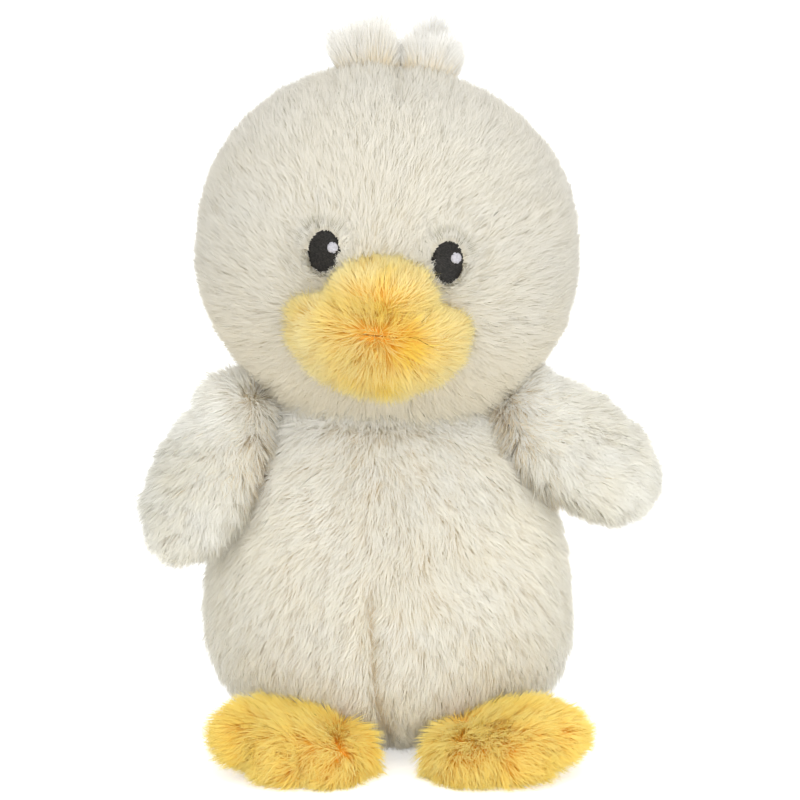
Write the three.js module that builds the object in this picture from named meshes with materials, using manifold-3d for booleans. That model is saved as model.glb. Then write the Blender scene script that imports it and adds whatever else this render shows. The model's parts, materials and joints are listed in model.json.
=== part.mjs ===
// Plush chick: stuffed head, body, wings, feet and bill of long-pile cloth, with a squeaker in the belly.
// Millimetres, +Z up. The face looks along -Y, and the toy's own left is at +X.
// The origin is on the ground, under the middle of the toy's outline.
import * as THREE from 'three';
import { mergeVertices } from 'three/addons/utils/BufferGeometryUtils.js';
import Module from 'manifold-3d';

const wasm = await Module();
wasm.setup();

const degrees = THREE.MathUtils.degToRad;

// Clearances and cloth.
const GAP = 0.3; // between two pieces that are sewn or laid together
const SEAT = 0.6; // between two round pieces that turn in each other
const CLOTH = 3; // backing cloth with the pressed roots of its pile
const FLAT_CUT = 0.5; // how far the weight of the toy flattens what it stands on
const SWING_STEP = degrees(20); // most between the places of a swing at which a limb's clearance is cut

// Body: a pear, widest low down, that stands on its flattened base.
const BODY = { side: 62.5, front: 51, back: 47, up: 87, down: 41, square: 2, squareBelow: 2.4 };
const BODY_PLACE = new THREE.Vector3(0.5, 0, BODY.down - FLAT_CUT);
const BODY_SEAM = { depth: 2.2, halfWidth: 5 };

// Head: round about its own side-to-side axis below, so that it can nod in the cup of the body.
const HEAD = { side: 62.5, front: 55, back: 55, up: 61, down: 55, square: 2.2, pole: 'x' };
const HEAD_PLACE = new THREE.Vector3(0.5, -4, 163);
const HEAD_ROLL = degrees(5);
const FACE_ASIDE = -1.3; // the face and the crown are sewn on a little to the toy's right
const NECK_OPENING = 21; // radius of the hole through which the head is stuffed

// Crown: two short tufts of pile, each sewn by a tab of its cloth into the seam on top of the head.
const TUFT = { side: 11.5, front: 7, back: 7, up: 15.5, down: 8, square: 2 };
const TUFT_LEAN = degrees(13);
const TUFT_BACK = 3; // the seam lies this far behind the middle of the head
const TUFT_TAB = { width: 12, thickness: 1.4, depth: 5 };

// Eyes: satin-stitched ovals with a small white glint, raised on the cloth of the face.
const EYE = { halfWidth: 5.3, halfHeight: 7.1, thickness: 1.2 };
const EYE_SPACING = 39;
const EYE_RISE = 6.5; // above the middle of the head
const GLINT = { radius: 1.8, thickness: 0.5, across: 2.6, rise: 1.8 };

// Bill: a wide upper half with a bridge that runs up between the eyes, and a round lower half.
const BILL = { side: 30, front: 27, back: 22, up: 15, down: 23, square: 2.3, squareBelow: 2 };
const BRIDGE = { side: 14.5, front: 19, back: 20, up: 25, down: 8, square: 2.8, squareBelow: 2 };
const BILL_DROP = 16; // the mouth lies this far below the middle of the head
const BILL_FORWARD = 48; // from the middle of the head to the middle of the bill

// Wings: mittens that swell towards the tip, on a round root that turns in the shoulder.
// Positive angles about the toy's front-to-back axis raise the right wing and lower the left one.
const WING = { side: 21, front: 14.5, back: 14.5, up: 37, down: 29, square: 2.3 };
const WING_ROOT = 15; // radius of the root, sewn on at the shoulder
const WING_CENTRE = 25; // from the shoulder to the middle of the mitten
const WING_NARROW = 0.9; // width near the root, as a share of the width near the tip
const WING_OPENING = 7; // radius of the hole through which a wing is stuffed
const WINGS = {
  left: {
    shoulder: new THREE.Vector3(45, -11, 112),
    pitch: degrees(-20), raise: degrees(-50), twist: degrees(20), swing: [degrees(-15), degrees(20)],
  },
  right: {
    shoulder: new THREE.Vector3(-48.5, -12, 112),
    pitch: degrees(-20), raise: degrees(24), twist: degrees(-34), swing: [0, degrees(35)],
  },
};

// Feet: flat pads with three toes, splayed outwards, that bend at the ankle.
const FOOT = { side: 28.5, front: 24, back: 24, up: 12.5, down: 10.5, square: 2.4, squareBelow: 3.4 };
const ANKLE_RADIUS = 10;
const FOOT_CENTRE = 20; // from the ankle to the middle of the pad
const FOOT_OPENING = 4.5; // radius of the hole through which a foot is stuffed
const FOOT_SWING = [degrees(-10), degrees(12)]; // how far the toes can be lowered and raised
const TOE_ANGLE = degrees(60); // between neighbouring toes
const TOE_NOTCH = 0.16; // depth between toes, as a share of the pad's length there
const TOE_SIDES = degrees(120); // the notches fade out this far round from the middle toe
const FEET = {
  left: { ankle: new THREE.Vector3(33, -31, FOOT.down - FLAT_CUT), splay: degrees(20) },
  right: { ankle: new THREE.Vector3(-23.5, -32, FOOT.down - FLAT_CUT), splay: degrees(-18) },
};

// Squeaker: a pleated blow-moulded bulb in a cloth pouch, with a whistle pressed into its front.
const BULB = { radius: 20, thickness: 21, wall: 1.2, pleat: 2.5, pleats: 2 };
const WHISTLE = { radius: 4, bore: 2.2, length: 11, flange: 6, flangeThickness: 1.2 };
const REED = { thickness: 0.3, length: 7 };
const POUCH = { wall: 1, mouth: 9 };
const POUCH_DEPTH = BULB.thickness / 2 + GAP + WHISTLE.flangeThickness + GAP; // from its middle to its ends
const SQUEAKER_PLACE = new THREE.Vector3(0, -9, 17); // from the middle of the body

// The slit in the back seam through which the toy is turned and stuffed, closed with thread.
const SLIT = { width: 1.2, length: 44, drop: 6 };
const THREAD = { radius: 0.5, stitches: 9, across: 3.2 };

// Facets of the curved forms, round the form and from one pole to the other. Their insides have half.
const LARGE = { around: 28, along: 12 };
const LIMB = { around: 16, along: 8 };
const PAD = { around: 24, along: 6 };
const SMALL = { around: 16, along: 8 };
const BALL = { around: 14, along: 8 };
const BAR_SIDES = 16;

// A closed surface whose points `pointAt(direction)` gives for directions spread all round a centre.
function closedSurface({ around, along }, pointAt) {
  const towards = (step, ring) => new THREE.Vector3().setFromSphericalCoords(
    1, (Math.PI * ring) / along, (2 * Math.PI * step) / around,
  ).applyAxisAngle(new THREE.Vector3(1, 0, 0), Math.PI / 2);
  const points = [pointAt(new THREE.Vector3(0, 0, 1))];
  for (let ring = 1; ring < along; ring++) {
    for (let step = 0; step < around; step++) points.push(pointAt(towards(step, ring)));
  }
  points.push(pointAt(new THREE.Vector3(0, 0, -1)));
  const index = [];
  const at = (ring, step) => 1 + (ring - 1) * around + (step % around);
  const last = points.length - 1;
  for (let step = 0; step < around; step++) {
    index.push(0, at(1, step), at(1, step + 1));
    index.push(last, at(along - 1, step + 1), at(along - 1, step));
    for (let ring = 1; ring < along - 1; ring++) {
      index.push(at(ring, step), at(ring + 1, step), at(ring + 1, step + 1));
      index.push(at(ring, step), at(ring + 1, step + 1), at(ring, step + 1));
    }
  }
  const geometry = new THREE.BufferGeometry().setFromPoints(points);
  geometry.setIndex(index);
  return geometry;
}

// A stuffed form: between an ellipsoid (square 2) and a drum (square 4), with its own reach each way,
// drawn in by `inset` all over. It is round about its pole, and `shape` adjusts its points.
function stuffedForm(size, facets, inset = 0, shape = (point) => point) {
  const { side, front, back, up, down, square, squareBelow = square, pole = 'z' } = size;
  const share = inset > 0 ? 0.5 : 1;
  return closedSurface({ around: facets.around * share, along: facets.along * share }, (direction) => {
    const power = direction.z < 0 ? squareBelow : square;
    const along = Math.abs(direction[pole]);
    const across = Math.sqrt(Math.max(0, 1 - along ** 2));
    const reach = new THREE.Vector3(
      side, direction.y < 0 ? front : back, direction.z < 0 ? down : up,
    ).subScalar(inset);
    return shape(direction.multiply(reach).divideScalar((along ** power + across ** power) ** (1 / power)));
  });
}

// The solid that a closed geometry bounds, after a frame has placed it.
function solid(geometry, frame = new THREE.Matrix4()) {
  const bare = new THREE.BufferGeometry();
  bare.setAttribute('position', geometry.getAttribute('position').clone());
  bare.setIndex(geometry.index);
  const closed = mergeVertices(bare).applyMatrix4(frame);
  return new wasm.Manifold(new wasm.Mesh({
    numProp: 3,
    vertProperties: new Float32Array(closed.getAttribute('position').array),
    triVerts: new Uint32Array(closed.index.array),
  }));
}

// The mesh's geometry for a solid.
function geometryOf(made) {
  const mesh = made.getMesh();
  const geometry = new THREE.BufferGeometry();
  geometry.setAttribute('position', new THREE.BufferAttribute(mesh.vertProperties, 3));
  geometry.setIndex(new THREE.BufferAttribute(mesh.triVerts, 1));
  geometry.computeVertexNormals();
  return geometry;
}

const moved = (x, y, z) => new THREE.Matrix4().makeTranslation(x, y, z);
const turned = (x, y, z) => new THREE.Matrix4().makeRotationFromEuler(new THREE.Euler(x, y, z));
const FAR = 400; // longer than the toy, for the tools that cut it
const block = (width, depth, height, frame) => solid(new THREE.BoxGeometry(width, depth, height), frame);
const ball = (radius, frame) => solid(closedSurface(BALL, (direction) => direction.setLength(radius)), frame);

// A round bar from one point to another, which `stretch` widens along its own X and Z.
function bar(radius, from, to, stretch = new THREE.Vector3(1, 1, 1)) {
  const along = new THREE.Vector3().subVectors(to, from);
  const rotation = new THREE.Quaternion().setFromUnitVectors(
    new THREE.Vector3(0, 1, 0), along.clone().normalize(),
  );
  const frame = new THREE.Matrix4().compose(along.clone().divideScalar(2).add(from), rotation, stretch);
  return solid(new THREE.CylinderGeometry(radius, radius, along.length(), BAR_SIDES), frame);
}

// Colours of pile, fibre, thread, plastic and cotton, as the photograph shows or as they usually are.
const CREAM = 0xe6e0cc;
const YELLOW = 0xf2c75c;
const ORANGE_YELLOW = 0xefbf52;
const FIBRE = 0xf7f7f4;
const BLACK = 0x24231f;
const WHITE = 0xf0eef0;
const CALICO = 0xe9e2d0;
const MILKY = 0xdfe3e4;
const CLOTH_ROUGHNESS = 0.95;
const THREAD_ROUGHNESS = 0.5;
const PLASTIC_ROUGHNESS = 0.45;

const toy = new THREE.Group();

// Adds one named piece to the group in whose frame it is made.
function addPiece(group, name, made, color, roughness = CLOTH_ROUGHNESS) {
  const material = new THREE.MeshStandardMaterial({ color, roughness, metalness: 0 });
  const mesh = new THREE.Mesh(geometryOf(made), material);
  mesh.name = name;
  group.add(mesh);
}

// Adds the group of a sub-assembly, whose origin is the point about which it moves.
function addGroup(parent, name, position, rotation = [0, 0, 0]) {
  const group = new THREE.Group();
  group.name = name;
  group.position.copy(position);
  group.rotation.set(...rotation);
  group.updateMatrix();
  parent.add(group);
  return group;
}

const SIDES = ['left', 'right'];
const bodyGroup = addGroup(toy, 'body_frame', BODY_PLACE);
const headGroup = addGroup(toy, 'head_frame', HEAD_PLACE, [0, HEAD_ROLL, 0]);
const wingGroups = {};
const footGroups = {};
for (const side of SIDES) {
  const { shoulder, pitch, raise, twist } = WINGS[side];
  wingGroups[side] = addGroup(toy, `${side}_wing_frame`, shoulder, [pitch, raise, twist]);
  const { ankle, splay } = FEET[side];
  footGroups[side] = addGroup(toy, `${side}_foot_frame`, ankle, [0, 0, splay]);
}

// The frame of one group as another sees it, and the ground's block as a group sees it.
const seenFrom = (viewer, group) => viewer.matrix.clone().invert().multiply(group.matrix);
const groundSeenFrom = (viewer) => block(
  FAR, FAR, FAR, viewer.matrix.clone().invert().multiply(moved(0, 0, -FAR / 2)),
);

// A group's twin after it has turned by an angle about an axis through its origin.
function turnedTwin(group, axis, angle) {
  const twin = group.clone(false);
  twin.quaternion.premultiply(new THREE.Quaternion().setFromAxisAngle(axis, angle));
  twin.updateMatrix();
  return twin;
}

// The body's seams run down the middle of its front and back and draw the cloth in.
function drawnAtSeams(point) {
  const near = Math.exp(-((point.x / BODY_SEAM.halfWidth) ** 2));
  const level = 1 - Math.min(1, Math.abs(point.z) / BODY.up) ** 2;
  point.y -= Math.sign(point.y) * Math.min(Math.abs(point.y), BODY_SEAM.depth * near * level);
  return point;
}

const bodyForm = (inset = 0) => stuffedForm(BODY, LARGE, inset, drawnAtSeams);
const headForm = (inset = 0) => stuffedForm(HEAD, LARGE, inset);

// The body makes room for the head, for the roots of the wings and for the ankles.
function cutByNeighbours(made, clearance) {
  let cut = made.subtract(solid(headForm(-clearance), seenFrom(bodyGroup, headGroup)));
  for (const side of SIDES) {
    cut = cut.subtract(ball(WING_ROOT + clearance, seenFrom(bodyGroup, wingGroups[side])));
    cut = cut.subtract(ball(ANKLE_RADIUS + clearance, seenFrom(bodyGroup, footGroups[side])));
  }
  return cut;
}

// The squeaker's pocket in the fibre, with the channel behind it through which it was pushed in.
function squeakerPocket() {
  const half = POUCH_DEPTH + POUCH.wall + GAP;
  const radius = BULB.radius + GAP + POUCH.wall + GAP;
  const front = SQUEAKER_PLACE.clone().setY(SQUEAKER_PLACE.y - half);
  const rear = SQUEAKER_PLACE.clone().setY(SQUEAKER_PLACE.y + half);
  return bar(radius, front, rear).add(bar(POUCH.mouth, front, rear.clone().setY(BODY.back)));
}

function addBody() {
  const slit = block(SLIT.width, BODY.back, SLIT.length, moved(0, BODY.back, -SLIT.drop));
  const shell = solid(bodyForm()).subtract(solid(bodyForm(CLOTH))).subtract(slit);
  const cover = cutByNeighbours(shell, SEAT).subtract(groundSeenFrom(bodyGroup));
  addPiece(bodyGroup, 'body_cover', cover, CREAM);

  const fibre = cutByNeighbours(solid(bodyForm(CLOTH + GAP)), SEAT).subtract(squeakerPocket());
  addPiece(bodyGroup, 'body_filling', fibre, FIBRE);
}

// Ladder stitches that cross the slit from edge to edge, laid on the cloth of the back.
function addClosingThread() {
  const points = [];
  for (let stitch = 0; stitch <= THREAD.stitches; stitch++) {
    const z = SLIT.length * (stitch / THREAD.stitches - 0.5) * (1 - 1 / THREAD.stitches) - SLIT.drop;
    const power = z < 0 ? BODY.squareBelow : BODY.square;
    const level = (1 - Math.abs(z / (z < 0 ? BODY.down : BODY.up)) ** power) ** (1 / power);
    const x = ((stitch % 2 ? 1 : -1) * THREAD.across) / 2;
    const point = drawnAtSeams(new THREE.Vector3(x, BODY.back * level, z));
    point.y += THREAD.radius + GAP;
    points.push(point);
  }
  const section = new THREE.Shape().absarc(0, 0, THREAD.radius, 0, 2 * Math.PI);
  const thread = new THREE.ExtrudeGeometry(section, {
    extrudePath: new THREE.CatmullRomCurve3(points), steps: 2 * THREAD.stitches, curveSegments: 3,
  });
  addPiece(bodyGroup, 'closing_thread', solid(thread), CREAM);
}

// A tuft's frame in the head's, on the crown's seam. The tufts stand side by side and lean apart.
function tuftFrame(side) {
  const sign = side === 'left' ? 1 : -1;
  const across = TUFT.side * Math.cos(TUFT_LEAN);
  const aside = across / HEAD.side;
  const level = Math.sqrt((1 - aside ** HEAD.square) ** (2 / HEAD.square) - (TUFT_BACK / HEAD.back) ** 2);
  return moved(FACE_ASIDE + sign * across, TUFT_BACK, HEAD.up * level)
    .multiply(turned(0, sign * TUFT_LEAN, 0));
}

const tuftTab = (clearance, frame) => block(
  TUFT_TAB.width + 2 * clearance, TUFT_TAB.thickness + 2 * clearance, 2 * (TUFT_TAB.depth + clearance), frame,
);

function addHead() {
  const neck = bar(NECK_OPENING, new THREE.Vector3(), new THREE.Vector3(0, 0, -2 * HEAD.down));
  let cover = solid(headForm()).subtract(solid(headForm(CLOTH))).subtract(neck);
  let fibre = solid(headForm(CLOTH + GAP));
  for (const side of SIDES) {
    cover = cover.subtract(tuftTab(GAP, tuftFrame(side)));
    fibre = fibre.subtract(tuftTab(GAP, tuftFrame(side)));
  }
  addPiece(headGroup, 'head_cover', cover, CREAM);
  addPiece(headGroup, 'head_filling', fibre, FIBRE);
}

function addTufts() {
  for (const side of SIDES) {
    const frame = tuftFrame(side);
    const sign = side === 'left' ? 1 : -1;
    const otherHalf = block(FAR, FAR, FAR, moved(FACE_ASIDE + (sign * (GAP - FAR)) / 2, 0, 0));
    const pile = solid(stuffedForm(TUFT, SMALL), frame)
      .subtract(solid(headForm(-GAP)))
      .add(tuftTab(0, frame))
      .subtract(otherHalf);
    addPiece(headGroup, `${side}_tuft`, pile, CREAM);
  }
}

// The bill's outer form, with its two masses joined, and the half of space on either side of its mouth.
const billFrame = moved(FACE_ASIDE, -BILL_FORWARD, -BILL_DROP);
const billForm = (inset) => solid(stuffedForm(BILL, SMALL, inset), billFrame)
  .add(solid(stuffedForm(BRIDGE, SMALL, inset), billFrame));
const billHalf = (sign, edge) => block(
  FAR, FAR, FAR, billFrame.clone().multiply(moved(0, 0, sign * (FAR / 2 + edge))),
);

// The halves meet at the mouth. Each is a cover that is open towards the face, with its own fibre.
function addBill() {
  const face = solid(headForm(-GAP));
  for (const [half, sign] of Object.entries({ upper: 1, lower: -1 })) {
    const outer = billForm(0).intersect(billHalf(sign, GAP / 2));
    const inner = billForm(CLOTH).intersect(billHalf(sign, GAP / 2 + CLOTH));
    addPiece(headGroup, `${half}_bill_cover`, outer.subtract(inner).subtract(face), YELLOW);
    const fibre = billForm(CLOTH + GAP).intersect(billHalf(sign, GAP / 2 + CLOTH + GAP));
    addPiece(headGroup, `${half}_bill_filling`, fibre.subtract(face), FIBRE);
  }
}

// An eye is a thin layer over the form of the face, cut out by an oval bar along Y.
function addEyes() {
  const layer = (low, high) => solid(headForm(-high)).subtract(solid(headForm(-low)));
  const oval = (x, z, halfWidth, halfHeight) => bar(
    1, new THREE.Vector3(x, -2 * HEAD.front, z), new THREE.Vector3(x, 0, z),
    new THREE.Vector3(halfWidth, 1, halfHeight),
  );
  const eyeTop = GAP + EYE.thickness;
  for (const side of SIDES) {
    const x = FACE_ASIDE + ((side === 'left' ? 1 : -1) * EYE_SPACING) / 2;
    const pad = layer(GAP, eyeTop)
      .intersect(oval(x, EYE_RISE, EYE.halfWidth, EYE.halfHeight))
      .subtract(billForm(-GAP));
    addPiece(headGroup, `${side}_eye`, pad, BLACK, THREAD_ROUGHNESS);
    const glint = layer(eyeTop + GAP, eyeTop + GAP + GLINT.thickness)
      .intersect(oval(x + GLINT.across, EYE_RISE + GLINT.rise, GLINT.radius, GLINT.radius));
    addPiece(headGroup, `${side}_eye_glint`, glint, WHITE, THREAD_ROUGHNESS);
  }
}

// A wing is narrower near the root and full near the tip, and clears the body and the head.
function wingTaper(point) {
  const wide = THREE.MathUtils.lerp(WING_NARROW, 1, THREE.MathUtils.smoothstep(-point.z, -WING.up, 0));
  return point.multiply(new THREE.Vector3(wide, wide, 1));
}

// What a limb clears at rest and in steps to the ends of its swing, as `neighbours(viewer)` gives it.
function swungPast(group, axis, swing, neighbours) {
  const angles = swing.flatMap((end) => {
    const steps = Math.ceil(Math.abs(end) / SWING_STEP);
    return Array.from({ length: steps }, (_, step) => (end * (step + 1)) / steps);
  });
  return [0, ...angles].map((angle) => neighbours(turnedTwin(group, axis, angle)))
    .reduce((all, one) => all.add(one));
}

// The body as a limb sees it, but for the limb's own round root.
const bodyPastRoot = (viewer, rootRadius) => (
  solid(bodyForm(-SEAT), seenFrom(viewer, bodyGroup)).subtract(ball(rootRadius))
);

// Everything on the head's side of the plane that touches the head towards a place.
function headSide(viewer, place) {
  const towards = place.clone().sub(HEAD_PLACE).normalize();
  const surface = headForm(-SEAT).applyMatrix4(headGroup.matrix).getAttribute('position');
  const point = new THREE.Vector3();
  let reach = 0;
  for (let index = 0; index < surface.count; index++) {
    reach = Math.max(reach, point.fromBufferAttribute(surface, index).sub(HEAD_PLACE).dot(towards));
  }
  const frame = new THREE.Matrix4().compose(
    HEAD_PLACE.clone().addScaledVector(towards, reach - FAR / 2),
    new THREE.Quaternion().setFromUnitVectors(new THREE.Vector3(0, 0, 1), towards),
    new THREE.Vector3(1, 1, 1),
  );
  return block(FAR, FAR, FAR, viewer.matrix.clone().invert().multiply(frame));
}

function addWing(side) {
  const group = wingGroups[side];
  const { shoulder, swing } = WINGS[side];
  const cleared = swungPast(group, new THREE.Vector3(0, 1, 0), swing, (viewer) => (
    bodyPastRoot(viewer, WING_ROOT).add(headSide(viewer, shoulder))
  ));
  const form = (inset) => solid(stuffedForm(WING, LIMB, inset, wingTaper), moved(0, 0, -WING_CENTRE))
    .add(ball(WING_ROOT - inset));
  const inwards = BODY_PLACE.clone().sub(group.position).setZ(0)
    .applyQuaternion(group.quaternion.clone().invert());
  const shell = form(0).subtract(form(CLOTH)).subtract(bar(WING_OPENING, new THREE.Vector3(), inwards));
  addPiece(group, `${side}_wing_cover`, shell.subtract(cleared), CREAM);
  addPiece(group, `${side}_wing_filling`, form(CLOTH + GAP).subtract(cleared), FIBRE);
}

// Three toes: full reach along each toe, drawn in between them, fading out round the sides.
function toes(point) {
  const fromMiddle = Math.abs(Math.atan2(point.x, -point.y));
  const between = 1 - Math.abs(Math.cos((Math.PI * fromMiddle) / TOE_ANGLE));
  const fade = 1 - THREE.MathUtils.smoothstep(fromMiddle, TOE_ANGLE, TOE_SIDES);
  const reach = 1 - TOE_NOTCH * fade * between ** 1.5;
  return point.multiply(new THREE.Vector3(reach, reach, 1));
}

function addFoot(side) {
  const group = footGroups[side];
  const hinge = new THREE.Vector3(-1, 0, 0).applyQuaternion(group.quaternion);
  const cleared = swungPast(group, hinge, FOOT_SWING, (viewer) => bodyPastRoot(viewer, ANKLE_RADIUS))
    .add(groundSeenFrom(group));
  const form = (inset) => solid(stuffedForm(FOOT, PAD, inset, toes), moved(0, -FOOT_CENTRE, 0))
    .add(ball(ANKLE_RADIUS - inset));
  const opening = bar(FOOT_OPENING, new THREE.Vector3(), new THREE.Vector3(0, 2 * ANKLE_RADIUS, 0));
  const shell = form(0).subtract(form(CLOTH)).subtract(opening);
  addPiece(group, `${side}_foot_cover`, shell.subtract(cleared), ORANGE_YELLOW);
  addPiece(group, `${side}_foot_filling`, form(CLOTH + GAP).subtract(cleared), FIBRE);
}

// The squeaker's parts are turned: each is a profile of radius and depth, spun about Y.
const spun = (outline) => solid(
  new THREE.LatheGeometry(outline.map(([radius, y]) => new THREE.Vector2(radius, y)), BAR_SIDES),
);

function addSqueaker() {
  const group = addGroup(bodyGroup, 'squeaker_frame', SQUEAKER_PLACE);
  const half = BULB.thickness / 2;

  // The bulb's side is folded into pleats, and its front has the hole for the whistle.
  const pleatedSide = (radius, reach) => {
    const folds = 2 * BULB.pleats;
    return Array.from({ length: folds + 1 }, (_, fold) => (
      [radius - (fold % 2 ? 0 : BULB.pleat), reach * ((2 * fold) / folds - 1)]
    ));
  };
  const hole = WHISTLE.radius + GAP;
  const inside = pleatedSide(BULB.radius - BULB.wall, half - BULB.wall).reverse();
  const bulb = spun([
    [hole, -half], ...pleatedSide(BULB.radius, half), [0, half],
    [0, half - BULB.wall], ...inside, [hole, BULB.wall - half], [hole, -half],
  ]);
  addPiece(group, 'squeaker_bulb', bulb, MILKY, PLASTIC_ROUGHNESS);

  // The whistle is pushed in from the front as far as its flange, and holds the reed in its bore.
  const front = -half - GAP;
  const outer = front - WHISTLE.flangeThickness;
  const tube = spun([
    [WHISTLE.bore, outer], [WHISTLE.flange, outer], [WHISTLE.flange, front], [WHISTLE.radius, front],
    [WHISTLE.radius, front + WHISTLE.length], [WHISTLE.bore, front + WHISTLE.length], [WHISTLE.bore, outer],
  ]);
  addPiece(group, 'whistle_tube', tube, WHITE, PLASTIC_ROUGHNESS);
  const reed = block(
    2 * (WHISTLE.bore - GAP), REED.length, REED.thickness, moved(0, front + WHISTLE.length / 2, 0),
  );
  addPiece(group, 'whistle_reed', reed, MILKY, PLASTIC_ROUGHNESS);

  // The pouch is a round bag about the bulb, gathered behind it round an open mouth.
  const inner = BULB.radius + GAP;
  const bag = inner + POUCH.wall;
  const depth = POUCH_DEPTH + POUCH.wall;
  const pouch = spun([
    [0, -depth], [bag, -depth], [bag, depth], [POUCH.mouth, depth],
    [POUCH.mouth, POUCH_DEPTH], [inner, POUCH_DEPTH], [inner, -POUCH_DEPTH], [0, -POUCH_DEPTH],
  ]);
  addPiece(group, 'squeaker_pouch', pouch, CALICO);
}

addBody();
addClosingThread();
addSqueaker();
addHead();
addTufts();
addEyes();
addBill();
for (const side of SIDES) {
  addWing(side);
  addFoot(side);
}

// The origin goes under the middle of the outline.
const outline = new THREE.Box3().setFromObject(toy, true);
toy.position.set(-(outline.min.x + outline.max.x) / 2, -(outline.min.y + outline.max.y) / 2, 0);

export default toy;
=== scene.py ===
# Plush chick in long-pile cloth: its pile, cloth, embroidery and threads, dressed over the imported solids.
# Metres, +Z up. The face looks along -Y, and the toy's own left is at +X.
import itertools
import json
import math

import bpy
import numpy as np
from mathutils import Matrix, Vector


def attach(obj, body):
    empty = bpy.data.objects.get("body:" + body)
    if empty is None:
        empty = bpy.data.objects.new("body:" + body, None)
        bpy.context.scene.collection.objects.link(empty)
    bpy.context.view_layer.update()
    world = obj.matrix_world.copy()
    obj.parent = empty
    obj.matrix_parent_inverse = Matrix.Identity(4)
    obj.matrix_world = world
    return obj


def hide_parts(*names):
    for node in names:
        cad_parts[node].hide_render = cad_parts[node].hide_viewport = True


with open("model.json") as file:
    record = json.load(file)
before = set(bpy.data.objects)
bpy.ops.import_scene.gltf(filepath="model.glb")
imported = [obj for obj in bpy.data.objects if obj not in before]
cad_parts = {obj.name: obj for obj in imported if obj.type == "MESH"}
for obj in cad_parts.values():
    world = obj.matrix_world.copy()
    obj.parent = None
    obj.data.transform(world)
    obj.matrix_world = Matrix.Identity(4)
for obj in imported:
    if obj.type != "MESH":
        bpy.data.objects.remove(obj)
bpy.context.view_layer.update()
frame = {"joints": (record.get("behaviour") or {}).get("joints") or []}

# Camera: in front of the toy and a little above it, far enough away to flatten the perspective.
# It is aimed at a point between the head and the belly, which is measured from the pivot of the head.
CAMERA_DISTANCE = 1.3
CAMERA_RISE = math.radians(10)
CAMERA_LENS_MM = 177.8
CAMERA_AIM = Vector((0.0038, -0.006, -0.0473))
CAMERA_NEAR, CAMERA_FAR = 0.05, 20


def placed(name, data):
    """A new object in the scene."""
    made = bpy.data.objects.new(name, data)
    bpy.context.scene.collection.objects.link(made)
    return made


joints = {joint["name"]: joint for joint in frame["joints"]}
head_pivot = Vector(joints["head_nod"]["pos_m"])
camera = placed("camera", bpy.data.cameras.new("camera"))
bpy.context.scene.camera = camera
towards_camera = Vector((0, -math.cos(CAMERA_RISE), math.sin(CAMERA_RISE)))
camera.location = head_pivot + CAMERA_AIM + towards_camera * CAMERA_DISTANCE
camera.rotation_euler = towards_camera.to_track_quat("Z", "Y").to_euler()
camera.data.lens = CAMERA_LENS_MM
camera.data.clip_start, camera.data.clip_end = CAMERA_NEAR, CAMERA_FAR

# Stage: a pale floor that keeps the toy's soft shadow, a white surround, and five soft lamps.
# The camera sees the floor a little lighter than it is lit, so that it runs into the white surround.
FLOOR_SIZE = 8
FLOOR_COLOUR = (0.8, 0.8, 0.79, 1)
FLOOR_GLOW = 0.5
SURROUND_LIGHT, SURROUND_SEEN = 0.95, 1.0
LAMPS = {
    "key": {"at": (-0.6, -1.7, 1.1), "size": 1.2, "watts": 8},
    "fill": {"at": (1.1, -1.7, 0.5), "size": 1.3, "watts": 8},
    "front": {"at": (0.15, -2.0, 0.2), "size": 1.2, "watts": 14},
    "top": {"at": (0.1, -0.75, 1.75), "size": 1.2, "watts": 3.5},
    "back": {"at": (0.4, 1.9, 0.9), "size": 1.4, "watts": 9},
}


class Finish:
    """A tree of shader nodes, of a material or of the world."""

    def __init__(self, owner):
        self.owner = owner
        owner.use_nodes = True
        self.tree = owner.node_tree
        self.tree.nodes.clear()

    def node(self, kind, sockets=None, settings=None, out=0):
        """Adds a node, sets its settings, then fills or links its sockets. Returns its output `out`."""
        made = self.tree.nodes.new(kind)
        for name, setting in (settings or {}).items():
            setattr(made, name, setting)
        for name, value in (sockets or {}).items():
            if isinstance(value, bpy.types.NodeSocket):
                self.tree.links.new(value, made.inputs[name])
            else:
                made.inputs[name].default_value = value
        return made.outputs[out]

    def math(self, operation, *values):
        return self.node("ShaderNodeMath", dict(enumerate(values)), {"operation": operation})

    def own_place(self):
        """Each point's place in its piece's own space."""
        return self.node("ShaderNodeTexCoord", out="Object")

    def noise(self, scale, detail):
        return self.node("ShaderNodeTexNoise", {"Vector": self.own_place(), "Scale": scale, "Detail": detail})

    def mixed(self, share, colours):
        """Two colours mixed by a share."""
        sockets = {0: share, 6: colours[0], 7: colours[1]}
        return self.node("ShaderNodeMix", sockets, {"data_type": "RGBA"}, out=2)

    def end(self, shader, kind="ShaderNodeOutputMaterial"):
        self.tree.links.new(shader, self.tree.nodes.new(kind).inputs["Surface"])
        return self.owner

    def bumpy(self, colour, height, strength, distance, sockets):
        """Ends a material with a surface of a colour, with bumps that follow a height."""
        bump = self.node("ShaderNodeBump", {"Height": height, "Strength": strength, "Distance": distance})
        sockets = {"Base Color": colour, "Normal": bump, **sockets}
        return self.end(self.node("ShaderNodeBsdfPrincipled", sockets))


def material(name):
    return Finish(bpy.data.materials.new(name))


def seen_directly(finish):
    """1 for what the camera sees, itself or in a reflection or through glass, and 0 for other light."""
    camera_ray, glossy_ray, through_glass = (
        finish.node("ShaderNodeLightPath", out=name)
        for name in ("Is Camera Ray", "Is Glossy Ray", "Is Transmission Ray"))
    return finish.math("MAXIMUM", finish.math("MAXIMUM", camera_ray, glossy_ray), through_glass)


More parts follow.
